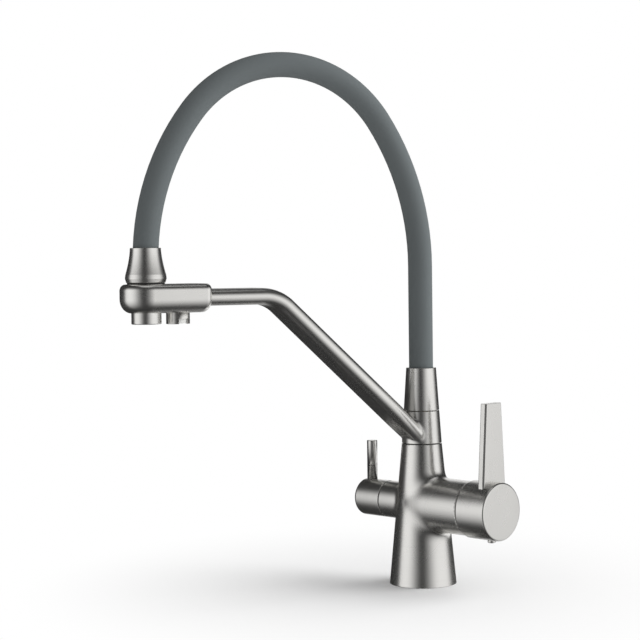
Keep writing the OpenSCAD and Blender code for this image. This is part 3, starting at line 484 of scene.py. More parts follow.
class Finish:
    """Builds one procedural material, node by node."""

    def __init__(self, name):
        self.material = bpy.data.materials.new(name)
        self.material.use_nodes = True
        self.nodes = self.material.node_tree.nodes
        self.links = self.material.node_tree.links
        self.shader = self.nodes["Principled BSDF"]
        self.place = self.nodes.new("ShaderNodeTexCoord").outputs["Object"]

    def set(self, **sockets):
        for name, value in sockets.items():
            self.shader.inputs[name.title()].default_value = value

    def noise(self, scale, stretch=(1, 1, 1), turned=0.0, detail=2.0):
        mapping = self.nodes.new("ShaderNodeMapping")
        mapping.inputs["Rotation"].default_value = (0, 0, turned)
        spread = self.nodes.new("ShaderNodeVectorMath")
        spread.operation = "MULTIPLY"
        spread.inputs[1].default_value = stretch
        noise = self.nodes.new("ShaderNodeTexNoise")
        noise.inputs["Scale"].default_value = scale
        noise.inputs["Detail"].default_value = detail
        self.links.new(self.place, mapping.inputs["Vector"])
        self.links.new(mapping.outputs["Vector"], spread.inputs[0])
        self.links.new(spread.outputs[0], noise.inputs["Vector"])
        return noise.outputs["Fac"]

    def blend(self, factor, first, second, socket):
        """Drives a socket between two values or colours by a factor."""
        mix = self.nodes.new("ShaderNodeMix")
        mix.data_type, kind = ("RGBA", "Color") if isinstance(first, tuple) else ("FLOAT", "Float")
        inputs = {plug.identifier: plug for plug in mix.inputs}
        outputs = {plug.identifier: plug for plug in mix.outputs}
        inputs["A_" + kind].default_value = first
        inputs["B_" + kind].default_value = second
        self.links.new(factor, inputs["Factor_Float"])
        self.links.new(outputs["Result_" + kind], self.shader.inputs[socket])

    def bump(self, height, strength, distance):
        bump = self.nodes.new("ShaderNodeBump")
        bump.inputs["Strength"].default_value = strength
        bump.inputs["Distance"].default_value = distance
        self.links.new(height, bump.inputs["Height"])
        self.links.new(bump.outputs["Normal"], self.shader.inputs["Normal"])


def tone(base, factor):
    return tuple(min(1.0, part * factor) for part in base) + (1.0,)


def brushed_nickel(name, base, stretch, turned=0.0, dark=0.94, light=1.05, smooth=0.24, rough=0.31):
    """Satin nickel with fine brush lines. Stretch says across which axis the lines follow each other."""
    finish = Finish(name)
    lines = finish.noise(1.0, stretch, turned, detail=4.0)
    clouds = finish.noise(scale=40.0)
    finish.set(metallic=1.0)
    finish.blend(lines, tone(base, dark), tone(base, light), "Base Color")
    finish.blend(clouds, smooth, rough, "Roughness")
    finish.bump(lines, strength=0.035, distance=0.02 * MM)
    return finish.material


def plain_metal(name, base, roughness, dark=0.9, light=1.05):
    """Turned metal of the inner pieces."""
    finish = Finish(name)
    clouds = finish.noise(scale=300.0)
    finish.set(metallic=1.0)
    finish.blend(clouds, tone(base, dark), tone(base, light), "Base Color")
    finish.blend(clouds, roughness - 0.05, roughness + 0.07, "Roughness")
    return finish.material


def moulded(name, base, roughness, grain, depth, dark=0.93, light=1.07):
    """Rubber, silicone, plastic or ceramic with a fine grain."""
    finish = Finish(name)
    clouds = finish.noise(scale=60.0)
    specks = finish.noise(grain, detail=3.0)
    finish.blend(clouds, tone(base, dark), tone(base, light), "Base Color")
    finish.blend(specks, roughness - 0.05, roughness + 0.06, "Roughness")
    finish.bump(specks, strength=0.25, distance=depth)
    return finish.material


def finish_of(name):
    return bpy.data.materials[name]


class TAP_OT_finishes(bpy.types.Operator):
    """Makes the finishes and gives one to every CAD node"""
    bl_idname = "tap.finishes"
    bl_label = "Finishes"

    def execute(self, context):
        tints = context.scene.tap_finishes
        heading = -math.atan2(along.y, along.x)
        fine, coarse = 2600.0, 25.0
        brushed_nickel("nickel_upright", tints.nickel, (coarse, coarse, fine))
        brushed_nickel("nickel_sideways", tints.nickel, (fine, coarse, coarse))
        brushed_nickel("nickel_arm", tints.nickel, (coarse, fine, coarse), heading)
        brushed_nickel("nickel_blade", tints.nickel, (coarse, fine, coarse))
        plain_metal("stainless_steel", tints.steel, roughness=0.3)
        plain_metal("brass", tints.brass, roughness=0.32)
        moulded("grey_silicone", tints.silicone, roughness=0.5, grain=900.0, depth=0.02 * MM)
        moulded("black_rubber", tints.rubber, roughness=0.6, grain=1500.0, depth=0.02 * MM)
        moulded("white_ceramic", tints.ceramic, roughness=0.25, grain=400.0, depth=0.002 * MM)
        moulded("white_plastic", tints.plastic, roughness=0.45, grain=1200.0, depth=0.01 * MM)
        for part in frame["record"]["subparts"]:
            slot = part["material_slot"]
            material = finish_of("nickel_upright" if slot == "brushed_nickel" else slot)
            mesh = frame["nodes"][part["node"]].data
            mesh.materials.clear()
            mesh.materials.append(material)
        return {"FINISHED"}


class TAP_OT_body(bpy.types.Operator):
    """Casts the body: the cone and the two valve tubes, with soft fillets"""
    bl_idname = "tap.body"
    bl_label = "Body"

    def execute(self, context):
        sizes = context.scene.tap_body
        knob_r = high("filter_knob").y

        def mixer_field(points):
            """The mixer tube, whose root narrows slowly at first and dives into the cone past the axis."""
            faded = np.maximum(sizes.mixer_fade_x - points[:, 0], 0) ** 2 / sizes.mixer_fade_l
            faded += np.maximum(-points[:, 0], 0) ** 3 / sizes.mixer_root_l ** 2
            return np.hypot(points[:, 1], points[:, 2] - valve_z) - sizes.mixer_r + faded

        def filter_field(points):
            return np.maximum(np.hypot(points[:, 1], points[:, 2] - valve_z) - knob_r, points[:, 0])

        field = blended(blended(body_field, mixer_field, sizes.fillet), filter_field, sizes.filter_fillet)
        seeds = Shell()
        seeds.lathe(rod(body_r(-SPARE), -SPARE, body_r(body_h + SPARE), body_h + SPARE))
        seeds.lathe(rod(sizes.mixer_r, 0, sizes.mixer_r, mixer_end_x + SPARE), on_mixer)
        seeds.lathe(rod(knob_r, 0, knob_r, knob_seam_x + SPARE), on_filter)
        edge = sizes.edge
        seal_in = (sizes.foot_wall - sizes.seal_w) / 2
        seal_end = seal_in + sizes.seal_w
        foot = [(seal_in, 0, edge), (seal_in, sizes.seal_w, 0), (seal_end, sizes.seal_w, 0),
                (seal_end, 0, edge), (sizes.foot_wall, 0, edge), (sizes.foot_wall, FOOT_DEPTH, 0)]
        top_in = body_r(body_h) - sizes.stem_r
        mixer_in = sizes.mixer_r - sizes.cartridge_r
        filter_in = knob_r - sizes.filter_bore_r
        cuts = [
            Cut((0, 0, 0), (0, 0, -1), edge, foot),
            Cut((0, 0, body_h), (0, 0, 1), edge, [(top_in, 0, edge), (top_in, BORE_DEPTH, 0)]),
            Cut((mixer_end_x, 0, valve_z), (1, 0, 0), sizes.seam_edge,
                [(mixer_in, 0, edge), (mixer_in, BORE_DEPTH, 0)]),
            Cut((sizes.seam_edge / 2 - knob_seam_x, 0, valve_z), (-1, 0, 0), sizes.seam_edge,
                [(filter_in, 0, edge), (filter_in, BORE_DEPTH, 0)]),
        ]
        mesh = cast_skin("cast_body", seeds, field, sizes.cell, cuts)
        finish_piece("cast_body", mesh, finish_of("nickel_upright"), "body", ["body_casting"])
        return {"FINISHED"}


def ball_profile(ball_r, first_r, last_r, sign, steps=14):
    """Points and normals of a ball about the lever's pivot, from one distance off the axis to another."""
    points, normals = [], []
    for step in range(steps + 1):
        r = first_r + (last_r - first_r) * step / steps
        rise = math.sqrt(ball_r ** 2 - r ** 2)
        points.append((r, pivot_x + rise))
        normals.append((sign * r / ball_r, sign * rise / ball_r))
    return np.array(points), np.array(normals)


def joined(*profiles):
    """One profile out of several that follow each other."""
    return np.vstack([points for points, _ in profiles]), np.vstack([normals for _, normals in profiles])


def collar_ball_r(sizes):
    """Radius of the collar's dome about the lever's pivot."""
    return math.hypot(hub_r - sizes.collar_recess, mixer_end_x + sizes.seam + sizes.collar_l - pivot_x)


class TAP_OT_collar(bpy.types.Operator):
    """Turns the trim collar, a dome under the lever's hub"""
    bl_idname = "tap.collar"
    bl_label = "Trim collar"

    def execute(self, context):
        edge, sizes = context.scene.tap_body.edge, context.scene.tap_lever
        start = mixer_end_x + sizes.seam
        collar_r = hub_r - sizes.collar_recess
        hole_r = collar_r - sizes.collar_wall
        ball_r = collar_ball_r(sizes)
        dome_x = pivot_x + math.sqrt(ball_r ** 2 - hole_r ** 2)
        rim = rounded([(hole_r, start, 0), (collar_r, start, edge), (collar_r, start + sizes.collar_l, 0)])
        hole = rounded([(hole_r, dome_x, 0), (hole_r, start, 0)])
        shell = Shell()
        shell.lathe(joined(rim, ball_profile(ball_r, collar_r, hole_r, 1), hole), on_mixer)
        finish_shell("turned_collar", shell, "nickel_sideways", "body", "trim_collar")
        return {"FINISHED"}


class TAP_OT_lever(bpy.types.Operator):
    """Turns the lever's hub and cap, and forms its blade and the lip round the set screw"""
    bl_idname = "tap.lever"
    bl_label = "Mixer lever"

    def execute(self, context):
        edge, sizes = context.scene.tap_body.edge, context.scene.tap_lever
        ball_r = collar_ball_r(sizes) + sizes.seam
        boss_x = hub_x - sizes.boss_l
        rear_x = mixer_end_x + sizes.hub_gap
        rim_r = math.sqrt(ball_r ** 2 - (rear_x - pivot_x) ** 2)
        boss = rounded([(0, boss_x, 0), (sizes.boss_r, boss_x, edge), (sizes.boss_r, boss_x + 2 * edge, 0)])
        outside = rounded([(rim_r, rear_x, 0), (hub_r, rear_x, edge), (hub_r, cap_x, sizes.cap_edge),
                           (0, cap_x, 0)])
        hub = Shell()
        hub.lathe(joined(boss, ball_profile(ball_r, sizes.boss_r, rim_r, -1), outside), on_mixer)
        lip_place = Matrix.Translation((hub_x - sizes.lip_r - sizes.seam, 0, valve_z - hub_r - sizes.lip_out))
        screw_r = sizes.lip_r / 2
        hub.lathe(rounded([(screw_r, 2 * sizes.lip_out, 0), (screw_r, 0, edge), (sizes.lip_r, 0, 2 * edge),
                           (sizes.lip_r, 2 * sizes.lip_out, 0)]), lip_place, sides=48)
        finish_shell("lever_hub_turned", hub, "nickel_sideways", "lever", "lever_hub", "lever_cap")
        self.blade(sizes)
        return {"FINISHED"}

    def blade(self, sizes):
        """A flat blade that narrows to its tip, bevelled along its upright edges."""
        foot, tip = low("lever_blade").z, high("lever_blade").z
        root_z = valve_z + hub_r
        root, end = sizes.blade_root_w / 2, sizes.blade_tip_w / 2
        outline = [(-root, foot), (root, foot), (root, root_z), (end, tip), (-end, tip), (-root, root_z)]
        form = bmesh.new()
        back = [form.verts.new((hub_x - sizes.blade_t, y, z)) for y, z in outline]
        front = [form.verts.new((hub_x, y, z)) for y, z in outline]
        form.faces.new(reversed(back))
        form.faces.new(front)
        for k in range(len(outline)):
            n = (k + 1) % len(outline)
            form.faces.new((back[k], back[n], front[n], front[k]))
        weights = form.edges.layers.float.new("bevel_weight_edge")
        for edge in form.edges:
            ends = [vertex.co for vertex in edge.verts]
            upright = abs(ends[1].z - ends[0].z) > abs(ends[1].y - ends[0].y)
            edge[weights] = 1.0 if upright else 0.0
        bmesh.ops.recalc_face_normals(form, faces=form.faces)
        mesh = bpy.data.meshes.new("lever_blade_flat")
        form.to_mesh(mesh)
        form.free()
        mesh.polygons.foreach_set("use_smooth", [True] * len(mesh.polygons))
        blade = finish_piece("lever_blade_flat", mesh, finish_of("nickel_blade"), "lever", ["lever_blade"])
        for name, width, segments in (("bevel", sizes.blade_bevel, 1), ("eased edges", sizes.blade_edge, 3)):
            ease = blade.modifiers.new(name, "BEVEL")
            ease.width = width
            ease.segments = segments
            ease.limit_method = "ANGLE" if segments > 1 else "WEIGHT"
            ease.harden_normals = segments > 1


class TAP_OT_filter_knob(bpy.types.Operator):
    """Turns the filter knob and its pin lever"""
    bl_idname = "tap.filter_knob"
    bl_label = "Filter knob"

    def execute(self, context):
        edge, sizes = context.scene.tap_body.edge, context.scene.tap_lever
        seam_edge = context.scene.tap_body.seam_edge
        knob_r = high("filter_knob").y
        start, end = -high("filter_knob").x, -low("filter_knob").x
        recess_r, recess = knob_r * KNOB_RECESS, start + BORE_DEPTH
        profile = rounded([(0, recess, 0), (recess_r, recess, 0), (recess_r, start, edge),
                           (knob_r, start, seam_edge), (knob_r, end, sizes.knob_edge), (0, end, 0)], steps=10)
        knob = Shell()
        knob.lathe(profile, on_filter)
        finish_shell("filter_knob_turned", knob, "nickel_sideways", "filter_handle", "filter_knob")
        pin_r = half_width("filter_pin")
        foot, tip = low("filter_pin").z, high("filter_pin").z
        place = Matrix.Translation((middle("filter_pin").x, middle("filter_pin").y, 0))
        pin = Shell()
        pin.lathe(rod(pin_r, foot, pin_r, tip, sizes.pin_edge), place, sides=64)
        finish_shell("filter_pin_turned", pin, "nickel_upright", "filter_handle", "filter_pin")
        return {"FINISHED"}


class TAP_OT_spout(bpy.types.Operator):
    """Casts the swivel ring and the flat arm as one welded piece, and turns the ferrule"""
    bl_idname = "tap.spout"
    bl_label = "Spout"

    def execute(self, context):
        edge, cell = context.scene.tap_body.edge, context.scene.tap_body.cell
        stem_r = context.scene.tap_body.stem_r
        sizes, seam = context.scene.tap_spout, context.scene.tap_lever.seam
        ring_top = ring_top_z - seam
        path = ArmPath(sizes)

        def arm_field(points):
            s = points @ np.array(along)
            w = points @ np.array(across)
            off = path.distance(s, points[:, 2])
            drawn_in = sizes.arm_neck * np.clip(1 - s / sizes.arm_neck_l, 0, 1) ** NECK_FADE
            flat = (sizes.arm_w - sizes.arm_t) / 2 - drawn_in
            return np.hypot(np.maximum(np.abs(w) - flat, 0), off) - sizes.arm_t / 2

        seeds = Shell()
        seeds.lathe(rod(neck_r(ring_z - SPARE), ring_z - SPARE, neck_r(ring_top + SPARE), ring_top + SPARE))
        seeds.add(*path.seed(sizes))
        field = blended(neck_field, arm_field, sizes.weld)
        bottom_in = ring_r - stem_r
        top_in = neck_r(ring_top) - stem_r
        near_z, near_s = ring_top - 4 * MM, neck_r(ring_top) + 2 * MM
        cuts = [
            Cut((0, 0, ring_z), (0, 0, -1), edge, [(bottom_in, 0, edge), (bottom_in, RING_DEPTH, 0)]),
            Cut((0, 0, ring_top), (0, 0, 1), edge, [(top_in, 0, edge), (top_in, RING_DEPTH, 0)],
                near=lambda at: at.z > near_z and at.dot(along) < near_s),
            Cut(along * path.end_s + UP * path.arm_z, along, edge, [(edge, 0, 0)]),
        ]
        mesh = cast_skin("ring_and_arm", seeds, field, cell, cuts)
        finish_piece("ring_and_arm", mesh, finish_of("nickel_arm"), "spout", ["swivel_ring", "flat_arm"])
        ferrule = Shell()
        inner_r = sizes.hose_r + edge
        bore_z = cone_top_z - BORE_DEPTH
        ferrule.lathe(rounded([(inner_r, bore_z, 0), (inner_r, ring_top_z, 0),
                               (neck_r(ring_top_z), ring_top_z, edge),
                               (neck_r(cone_top_z), cone_top_z, 1.5 * edge),
                               (inner_r, cone_top_z, edge), (inner_r, bore_z, 0)]))
        finish_shell("ferrule_turned", ferrule, "nickel_upright", "spout", "hose_ferrule")
        return {"FINISHED"}


class ArmPath:
    """Centre line of the arm in the plane of the spout: a rising run, a bend and a level run."""

    def __init__(self, sizes):
        self.slope = sizes.arm_slope
        self.bend_r = sizes.arm_bend_r
        self.root_z = body_h + sizes.arm_root
        self.arm_z = head_z + sizes.arm_in_head
        corner_s = (self.arm_z - self.root_z) / math.tan(self.slope)
        back = self.bend_r * math.tan(self.slope / 2)
        self.rise_l = corner_s / math.cos(self.slope) - back
        self.centre = (corner_s + back, self.arm_z - self.bend_r)
        self.end_s = reach - sizes.head_back + sizes.arm_socket

    def distance(self, s, z):
        """Distance from the centre line."""
        rise_s, rise_z = math.cos(self.slope), math.sin(self.slope)
        t = np.clip(s * rise_s + (z - self.root_z) * rise_z, 0, self.rise_l)
        run = np.hypot(s - t * rise_s, z - self.root_z - t * rise_z)
        level = np.hypot(s - np.maximum(s, self.centre[0]), z - self.arm_z)
        angle = np.arctan2(s - self.centre[0], z - self.centre[1])
        bend = np.abs(np.hypot(s - self.centre[0], z - self.centre[1]) - self.bend_r)
        bend = np.where((angle <= 0) & (angle >= -self.slope), bend, FAR)
        return np.minimum(np.minimum(run, level), bend)

    def points(self, steps=12):
        """Points of the centre line, from the body axis to a little past the arm's end."""
        rise = Vector((math.cos(self.slope), math.sin(self.slope)))
        line = [Vector((0, self.root_z)), Vector((0, self.root_z)) + rise * self.rise_l]
        for step in range(1, steps + 1):
            angle = -self.slope * (1 - step / steps)
            line.append(Vector(self.centre) + self.bend_r * Vector((math.sin(angle), math.cos(angle))))
        return line + [Vector((self.end_s + SPARE, self.arm_z))]

    def seed(self, sizes, sides=24):
        """A coarse closed sweep of the flat section along the centre line."""
        line = self.points()
        flat = (sizes.arm_w - sizes.arm_t) / 2
        points, normals, faces = [], [], []
        for k, at in enumerate(line):
            way = (line[min(k + 1, len(line) - 1)] - line[max(k - 1, 0)]).normalized()
            for side in range(sides):
                angle = math.tau * (side + 0.5) / sides
                w = math.cos(angle) * sizes.arm_t / 2 + math.copysign(flat, math.cos(angle))
                n = math.sin(angle) * sizes.arm_t / 2
                spot = at + Vector((-way.y, way.x)) * n
                points.append(along * spot.x + across * w + UP * spot.y)
                normals.append(UP)
        for k in range(len(line) - 1):
            for side in range(sides):
                a, b = k * sides + side, k * sides + (side + 1) % sides
                faces.append((a, a + sides, b + sides, b))
        faces.append(tuple(range(sides)))
        faces.append(tuple(reversed(range(len(points) - sides, len(points)))))
        return points, normals, faces


class HosePath:
    """Centre line of the hose: up from the ferrule, three touching bends, down into the bell."""

    def __init__(self, sizes):
        first, last = sizes.first_bend_turn, sizes.last_bend_turn
        bends_reach = sizes.first_bend_r * (1 - math.cos(first)) + sizes.last_bend_r * (1 - math.cos(last))
        crown_r = (reach - bends_reach) / (math.cos(first) + math.cos(last))
        last_at = Vector((reach - sizes.last_bend_r, bell_z + bell_h - sizes.bend_in_bell))
        crown_at = last_at + (sizes.last_bend_r - crown_r) * Vector((math.cos(last), math.sin(last)))
        first_at = crown_at + (sizes.first_bend_r - crown_r) * Vector((math.cos(first), -math.sin(first)))
        self.arcs = [(first_at, sizes.first_bend_r, math.pi, math.pi - first, BEND_STEPS),
                     (crown_at, crown_r, math.pi - first, last, CROWN_STEPS),
                     (last_at, sizes.last_bend_r, last, 0, BEND_STEPS)]

    def points(self, foot_z, end_z):
        line = [Vector((0, foot_z))]
        for centre, bend_r, start, end, steps in self.arcs:
            for step in range(steps + 1):
                angle = start + (end - start) * step / steps
                spot = centre + bend_r * Vector((math.cos(angle), math.sin(angle)))
                if (spot - line[-1]).length > LEAST_STEP:
                    line.append(spot)
        line.append(Vector((reach, end_z)))
        return [along * spot.x + UP * spot.y for spot in line]


def node_tree(name, inputs):
    """An empty geometry tree with a geometry in, a geometry out and named sizes."""
    tree = bpy.data.node_groups.new(name, "GeometryNodeTree")
    tree.interface.new_socket("Geometry", in_out="INPUT", socket_type="NodeSocketGeometry")
    for label, kind in inputs:
        tree.interface.new_socket(label, in_out="INPUT", socket_type=kind)
    tree.interface.new_socket("Geometry", in_out="OUTPUT", socket_type="NodeSocketGeometry")
    return tree, tree.nodes.new("NodeGroupInput"), tree.nodes.new("NodeGroupOutput")


def grow(name, seed_mesh, tree, values):
    """Runs a geometry tree on a seed mesh and returns the plain mesh that it makes."""
    seed = bpy.data.objects.new(name, seed_mesh)
    bpy.context.scene.collection.objects.link(seed)
    modifier = seed.modifiers.new(name, "NODES")
    modifier.node_group = tree
    sockets = {item.name: item.identifier for item in tree.interface.items_tree if item.in_out == "INPUT"}
    for label, value in values.items():
        modifier[sockets[label]] = value
    graph = bpy.context.evaluated_depsgraph_get()
    mesh = bpy.data.meshes.new_from_object(seed.evaluated_get(graph))
    seed.modifiers.remove(modifier)
    bpy.data.objects.remove(seed)
    mesh.name = name
    form = bmesh.new()
    form.from_mesh(mesh)
    if form.calc_volume(signed=True) < 0:
        bmesh.ops.reverse_faces(form, faces=form.faces)
    form.to_mesh(mesh)
    form.free()
    return mesh


def sweep_tree():
    """Sweeps a round section along the seed's line."""
    tree, given, made = node_tree("hose_sweep", [
        ("Radius", "NodeSocketFloat"), ("Sides", "NodeSocketInt"), ("Material", "NodeSocketMaterial")])
    line = tree.nodes.new("GeometryNodeMeshToCurve")
    section = tree.nodes.new("GeometryNodeCurvePrimitiveCircle")
    sweep = tree.nodes.new("GeometryNodeCurveToMesh")
    smooth = tree.nodes.new("GeometryNodeSetShadeSmooth")
    real = tree.nodes.new("GeometryNodeRealizeInstances")
    dress = tree.nodes.new("GeometryNodeSetMaterial")
    sweep.inputs["Fill Caps"].default_value = True
    link = tree.links.new
    link(given.outputs["Geometry"], line.inputs["Mesh"])
    link(given.outputs["Radius"], section.inputs["Radius"])
    link(given.outputs["Sides"], section.inputs["Resolution"])
    link(line.outputs["Curve"], sweep.inputs["Curve"])
    link(section.outputs["Curve"], sweep.inputs["Profile Curve"])
    link(sweep.outputs["Mesh"], smooth.inputs["Geometry"])
    link(smooth.outputs["Geometry"], real.inputs["Geometry"])
    link(real.outputs["Geometry"], dress.inputs["Geometry"])
    link(given.outputs["Material"], dress.inputs["Material"])
    link(dress.outputs["Geometry"], made.inputs["Geometry"])
    return tree


class TAP_OT_hose(bpy.types.Operator):
    """Sweeps the silicone hose over its arch"""
    bl_idname = "tap.hose"
    bl_label = "Hose"

    def execute(self, context):
        sizes = context.scene.tap_spout
        line = HosePath(sizes).points(low("silicone_hose").z, bell_z + HOSE_END)
        seed = bpy.data.meshes.new("hose_line")
        seed.from_pydata(line, [(k, k + 1) for k in range(len(line) - 1)], [])
        material = finish_of("grey_silicone")
        mesh = grow("arched_hose", seed, sweep_tree(), {
            "Radius": sizes.hose_r, "Sides": sizes.hose_sides, "Material": material})
        finish_piece("arched_hose", mesh, material, "spout", ["silicone_hose"])
        return {"FINISHED"}


class TAP_OT_head(bpy.types.Operator):
    """Forms the head block and turns the bell nut on it"""
    bl_idname = "tap.head"
    bl_label = "Head"

    def execute(self, context):
        edge, sizes = context.scene.tap_body.edge, context.scene.tap_spout
        self.block(sizes)
        bell_r, inner_r = half_width("bell_nut"), sizes.hose_r + edge
        bore_z, top = bell_z + OVERLAP, high("bell_nut").z
        foot_top, flank_h = bell_z + sizes.bell_foot_h, bell_h - sizes.bell_foot_h
        flank, steps = [], 16
        for step in range(1, steps):
            rise = step / steps
            r = sizes.bell_top_r + (bell_r - sizes.bell_top_r) * (1 - rise) ** sizes.bell_flare
            flank.append((r, foot_top + flank_h * rise, BELL_FLANK_EDGE))
        corners = [(inner_r, bore_z, 0), (inner_r, bell_z, edge), (bell_r - 3 * edge, bell_z, 3 * edge),
                   (bell_r, bell_z + sizes.bell_foot_h * BELL_WIDEST, BELL_FOOT_EDGE)]
        corners += flank + [(sizes.bell_top_r, top, edge), (inner_r, top, edge), (inner_r, bore_z, 0)]
        bell = Shell()
        bell.lathe(rounded(corners, steps=3), at_outlet(reach))
        finish_shell("bell_nut_turned", bell, "nickel_upright", "spout", "bell_nut")
        return {"FINISHED"}

    def block(self, sizes):
        """Loops of the plan outline, drawn in at the lower and upper edges."""
        half, height = sizes.head_w / 2, head_top_z - head_z
        places, sides = rounded([(0, 0, 0), (half, 0, sizes.head_low_edge),
                                 (half, height, sizes.head_top_edge), (0, height, 0)], steps=10)
        points, normals, faces = [], [], []
        for (side, z), (out, rise) in zip(places[1:-1], sides[1:-1]):
            outline = self.plan(sizes, half - side)
            for spot, face in outline:
                points.append(along * (reach - spot.x) + across * spot.y + UP * (head_z + z))
                normals.append((along * -face.x + across * face.y) * out + UP * rise)
        count = len(outline)
        for ring in range(len(places) - 3):
            for k in range(count):
                a, b = ring * count + k, ring * count + (k + 1) % count
                faces.append((a + count, b + count, b, a))
        faces.append(tuple(range(count)))
        faces.append(tuple(reversed(range(len(points) - count, len(points)))))
        shell = Shell()
        shell.add(points, normals, faces)
        finish_shell("rounded_head", shell, "nickel_arm", "spout", "head_block")

    def plan(self, sizes, inset):
        """Outline of the block in plan and its outward directions: x back from the outlet, y across."""
        side, corner = sizes.head_w / 2 - inset, sizes.head_corner
        nose = sizes.head_w / 2 - inset * sizes.head_nose_share
        back = sizes.head_back - inset * sizes.head_rear_share
        arcs = (((0, 0), (nose, side), 90, 270, NOSE_STEPS),
                ((back - corner, corner - side), (corner, corner), 270, 360, CORNER_STEPS),
                ((back - corner, side - corner), (corner, corner), 0, 90, CORNER_STEPS))
        outline = []
        for centre, (long_r, wide_r), start, end, steps in arcs:
            for step in range(steps + 1):
                angle = math.radians(start + (end - start) * step / steps)
                spot = Vector(centre) + Vector((long_r * math.cos(angle), wide_r * math.sin(angle)))
                face = Vector((wide_r * math.cos(angle), long_r * math.sin(angle))).normalized()
                outline.append((spot, face))
        return outline


def jet_tree():
    """Lips round the jets of an outlet insert: one in the middle and rings of them about it."""
    tree, given, made = node_tree("jet_lips", [
        ("Rings", "NodeSocketInt"), ("Jets", "NodeSocketInt"), ("Pitch", "NodeSocketFloat"),
        ("Lip radius", "NodeSocketFloat"), ("Lip thickness", "NodeSocketFloat"),
        ("Material", "NodeSocketMaterial")])
    link, new = tree.links.new, tree.nodes.new
    gather = new("GeometryNodeJoinGeometry")
    middle_jet = new("GeometryNodeMeshLine")
    middle_jet.inputs["Count"].default_value = 1
    link(middle_jet.outputs["Mesh"], gather.inputs["Geometry"])
    for ring in (1, 2):
        circle = new("GeometryNodeMeshCircle")
        jets, pitch, shown = (new("ShaderNodeMath") for _ in range(3))
        jets.operation = pitch.operation = "MULTIPLY"
        shown.operation = "LESS_THAN"
        jets.inputs[1].default_value = pitch.inputs[1].default_value = ring
        link(given.outputs["Jets"], jets.inputs[0])
        link(given.outputs["Pitch"], pitch.inputs[0])
        link(jets.outputs[0], circle.inputs["Vertices"])
        link(pitch.outputs[0], circle.inputs["Radius"])
        drop = new("GeometryNodeDeleteGeometry")
        link(given.outputs["Rings"], shown.inputs[0])
        shown.inputs[1].default_value = ring
        link(circle.outputs["Mesh"], drop.inputs["Geometry"])
        link(shown.outputs[0], drop.inputs["Selection"])
        link(drop.outputs["Geometry"], gather.inputs["Geometry"])
    lip_line = new("GeometryNodeCurvePrimitiveCircle")
    lip_line.inputs["Resolution"].default_value = LIP_SIDES
    section = new("GeometryNodeCurvePrimitiveCircle")
    section.inputs["Resolution"].default_value = LIP_SECTION_SIDES
    lip = new("GeometryNodeCurveToMesh")
    copies = new("GeometryNodeInstanceOnPoints")
    real = new("GeometryNodeRealizeInstances")
    smooth = new("GeometryNodeSetShadeSmooth")
    dress = new("GeometryNodeSetMaterial")
    link(given.outputs["Lip radius"], lip_line.inputs["Radius"])
    link(given.outputs["Lip thickness"], section.inputs["Radius"])
    link(lip_line.outputs["Curve"], lip.inputs["Curve"])
    link(section.outputs["Curve"], lip.inputs["Profile Curve"])
    link(gather.outputs["Geometry"], copies.inputs["Points"])
    link(lip.outputs["Mesh"], copies.inputs["Instance"])
    link(copies.outputs["Instances"], real.inputs["Geometry"])
    link(real.outputs["Geometry"], smooth.inputs["Geometry"])
    link(smooth.outputs["Geometry"], dress.inputs["Geometry"])
    link(given.outputs["Material"], dress.inputs["Material"])
    link(dress.outputs["Geometry"], made.inputs["Geometry"])
    return tree


